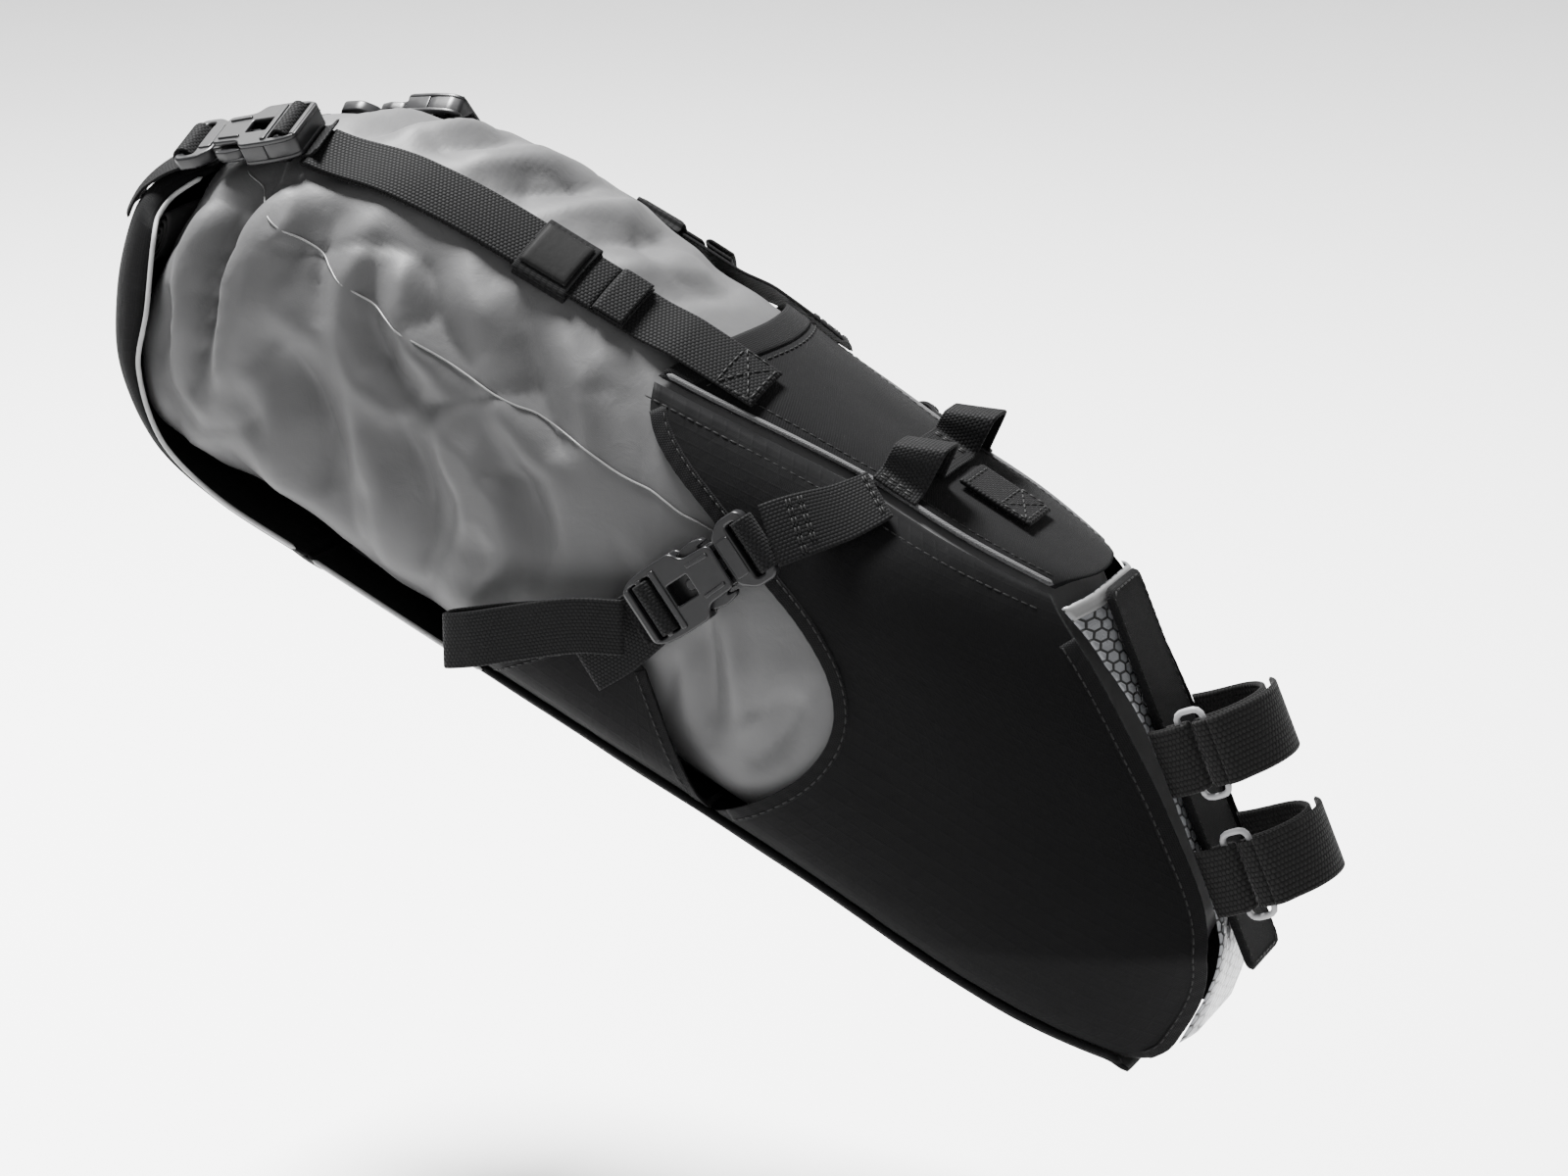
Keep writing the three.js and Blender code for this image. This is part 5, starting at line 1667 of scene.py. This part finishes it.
def centre_tab():
    """The short webbing tab along the middle of the top panel."""
    def at(u, v):
        x = -137 + 30 * u
        y = (2 * v - 1) * 10
        return (x, y, top_height(x, y) + TOP_PANEL_OUT + 0.6 + 1.3)
    grid = lay(30, 0, at, col_steps=strap_steps())
    shell("centre_tab_webbing", grid, 2.2, LOOKS["webbing"], "harness", ["centre_tab"])
    columns = grid.shape[1] - 1
    lines = box_stitch(grid, (17, 28), (3.4, columns - 3.4), 1.2)
    lines.append(grid_line(grid, np.full(16, 3), np.linspace(3.4, columns - 3.4, 16), 1.2))
    stitches("centre_tab_stitch", lines, "harness", size=0.45)


def lower_straps():
    """The webbing sewn to each lower wing, under the side buckle."""
    route = Curve([(-214, -44), (-206, -30), (-199, -12), (-193, 4)])
    for side, sign in SIDES.items():
        def at(u, v, sign=sign):
            p, t = route.at(u), route.tangent(u)
            x = p[0] + t[1] * (2 * v - 1) * WEBBING / 2
            z = p[1] - t[0] * (2 * v - 1) * WEBBING / 2
            return on_side(x, z, sign, 3.95)
        shell(
            f"lower_strap_webbing_{side}", lay(40, 0, at, col_steps=strap_steps()), 1.05, LOOKS["webbing"],
            "harness", [f"lower_strap_{side}"],
        )


STOWED = [
    (0, 0, 0), (-16, -9, 1.5), (-34, -23.5, 3), (-50, -37, 3.5), (-58, -43.5, 1.2),
    (-57, -43, -3.2), (-48, -36, -4.6), (-34, -24.5, -3.4), (-22, -15, -1.6),
]


def stowed_tails():
    """The side strap's spare length, folded back on itself and tucked away."""
    for side, sign in SIDES.items():
        x0, z0 = SIDE_BUCKLE["ladder"]
        start = (x0 - 2.5, sign * (half_width(x0, z0) + SIDE_BUCKLE["ladder_lift"] + 1), z0 - 4.5)
        curve = Curve([(start[0] + x, start[1] + sign * y, start[2] + z) for x, z, y in STOWED])
        lean = np.array((0.45, 0.1 * sign, -0.9))
        lean /= np.linalg.norm(lean)

        def at(u, v, curve=curve, lean=lean):
            p, t = curve.at(u), curve.tangent(u)
            width = lean - t * lean.dot(t)
            width /= np.linalg.norm(width)
            curl = 0.25 * math.sin(u * 17) * (2 * v - 1) ** 2
            out = np.cross(t, width)
            return p + width * (2 * v - 1) * WEBBING / 2 + out * curl
        grid = lay(110, 0, at, col_steps=strap_steps())
        shell(
            f"side_strap_tail_webbing_{side}", grid, 1.2, LOOKS["webbing"], f"side_buckle_{side}",
            [f"side_strap_tail_{side}"],
        )


# ---------- nose and seatpost fixing ----------

NOSE_HALF = [(-66, 25), (-50, 20), (-30, 17.6), (44, 17.6), (70, 23), (101, 29.8)]
NOSE_BACK = [(-66, 24), (-50, 10), (-38, 3), (-20, 0), (80, 0), (101, 2)]
NOSE_LOW, NOSE_LONG = -66, 161.6


def nose_point(u, v, depth):
    z = NOSE_LOW + NOSE_LONG * u
    across = 2 * v - 1
    half = along(NOSE_HALF, z)
    beyond = max(0.0, abs(across) * half - PAD_HALF_WIDTH)
    fall = max(0.0, along(NOSE_BACK, z)) + 0.11 * beyond ** 1.6
    return (-PAD_THICK - 0.4 - fall - depth, across * half, z)


def nose():
    """The nose panel with its bound upper edge, and the stitched pad that bears on the post."""
    def at(u, v):
        crinkle = 0.35 * noise.noise(Vector((u * 30, v * 9, 4.0)))
        return nose_point(u, v, 0.9 + crinkle)
    grid = lay(120, 44, at)
    shell("nose_cloth", grid, 0.9, LOOKS["hexagon"], "harness", ["nose_panel"], angle=-POST_TILT)
    top = lay(5, 40, lambda u, v: nose_point(0.965 + 0.034 * u, v, 0.3))
    shell("nose_top_binding", top, 1.0, LOOKS["seam"], "harness", angle=-POST_TILT, turn=True)
    low, high = -50, 95
    ease = 4

    def pad(u, v):
        z = mix(low, high, u)
        from_end = min(z - low, high - z)
        half = PAD_HALF_WIDTH - 0.3 - (max(0.0, ease - from_end) ** 2) / ease * 0.6
        return (-PAD_THICK / 2 - 0.05, (2 * v - 1) * half, z)
    cushion = lay(110, 0, pad, col_steps=strap_steps(30, 16))
    piece = shell(
        "nose_pad_cushion", cushion, PAD_THICK - 0.15, LOOKS["canvas"], "harness", ["nose_pad"],
        angle=-POST_TILT,
    )
    edge = 2.2
    border = [
        (0.05, -PAD_HALF_WIDTH + edge, low + 5), (0.05, -PAD_HALF_WIDTH + edge, high - 5),
        (0.05, -PAD_HALF_WIDTH + 5, high - edge), (0.05, PAD_HALF_WIDTH - 5, high - edge),
        (0.05, PAD_HALF_WIDTH - edge, high - 5), (0.05, PAD_HALF_WIDTH - edge, low + 5),
        (0.05, PAD_HALF_WIDTH - 5, low + edge), (0.05, -PAD_HALF_WIDTH + 5, low + edge),
        (0.05, -PAD_HALF_WIDTH + edge, low + 5),
    ]
    stitches("nose_pad_stitching", [[(p, (1, 0, 0)) for p in border]], "harness", angle=-POST_TILT)


RING = {"half": 6, "height": 17, "bar": 4.3}
LOOP_RADIUS = POST_RADIUS + 0.4 + POST_STRAP_THICK / 2
TAIL_RADIUS = LOOP_RADIUS + POST_STRAP_THICK + 2.2
RING_X = 13.5
RING_Y = -(LOOP_RADIUS + POST_STRAP_THICK / 2 + 1.3)
OVER_RING_Y = RING_Y - 1 - 0.4 - POST_STRAP_THICK / 2


def post_arc(radius, start, stop, steps):
    angles = [math.radians(mix(start, stop, k / steps)) for k in range(steps + 1)]
    return [(POST_RADIUS + radius * math.cos(a), radius * math.sin(a)) for a in angles]


def post_webbing(name, path, height, body, replaces=(), thick=1.9, width=POST_STRAP_WIDTH):
    """Hook-and-loop tape of the post strap along a path across the post."""
    curve = Curve(path)
    steps = max(12, int(curve.length / 1.1))

    def at(u, v):
        x, y = curve.at(u)
        return (x, y, height + (2 * v - 1) * width / 2)
    grid = lay(steps, 0, at, col_steps=strap_steps(width, 9))
    shell(name, grid, thick, LOOKS["hook_loop"], body, replaces, angle=-POST_TILT)


def post_straps():
    """Each post strap: the loop round the post, the tail laid over it, and the ring between."""
    for level, height in POST_STRAP_HEIGHTS.items():
        post_webbing(
            f"post_loop_tape_{level}", [(-1.5, 20.2), (6, 18.2)] + post_arc(LOOP_RADIUS, 90, -84, 16),
            height, "harness", [f"post_strap_loop_{level}"],
        )
        over = [(RING_X + RING["bar"] + 2.3, OVER_RING_Y), (23.5, OVER_RING_Y + 0.4)]
        post_webbing(
            f"post_tail_tape_{level}", over + post_arc(TAIL_RADIUS, -55, 42, 10), height,
            f"post_strap_{level}", [f"post_strap_tail_{level}"],
        )
        post_webbing(
            f"post_anchor_tape_{level}", [(-3, -20.4), (3, OVER_RING_Y), (RING_X - 3.2, OVER_RING_Y)], height,
            "harness", [f"post_strap_anchor_{level}"],
        )
        front, rear = RING_X + RING["bar"], RING_X - RING["bar"]
        turn_front = [
            (front + 2.6, OVER_RING_Y), (front, OVER_RING_Y - 0.1), (front - 2.4, OVER_RING_Y + 0.7),
            (front - 3.3, RING_Y), (front - 2.5, RING_Y + 1.8), (front - 0.4, RING_Y + 2.3),
        ]
        turn_rear = [
            (rear - 2.2, OVER_RING_Y), (rear, OVER_RING_Y), (rear + 2.3, OVER_RING_Y + 0.8),
            (rear + 3.0, RING_Y), (rear + 2.2, RING_Y + 1.7), (rear - 1, RING_Y + 2.1),
            (rear - 6, RING_Y + 1.6),
        ]
        post_webbing(f"post_turn_front_{level}", turn_front, height, "harness", thick=1.5, width=24.4)
        post_webbing(f"post_turn_rear_{level}", turn_rear, height, "harness", thick=1.5, width=24.4)
        half, tall, round_off = RING["half"] - 1.1, RING["height"] - 1.1, 3.4
        outline = rounded_outline([(-half, -tall), (half, -tall), (half, tall), (-half, tall)], round_off, 6)
        ring = [(RING_X + x, RING_Y, height + z) for x, z in outline]
        # The wire's two ends run on over one another, so its joint does not show.
        ring = ring[2:] + ring[:4]
        tube(
            f"post_ring_wire_{level}", ring, 1.15, LOOKS["ring"], "harness", [f"post_strap_ring_{level}"],
            angle=-POST_TILT, tip=False,
        )


tab_links(all_buckles())
top_straps()
flap_tabs()
rail_strap()
shoulder_straps()
centre_tab()
lower_straps()
stowed_tails()
nose()
post_straps()
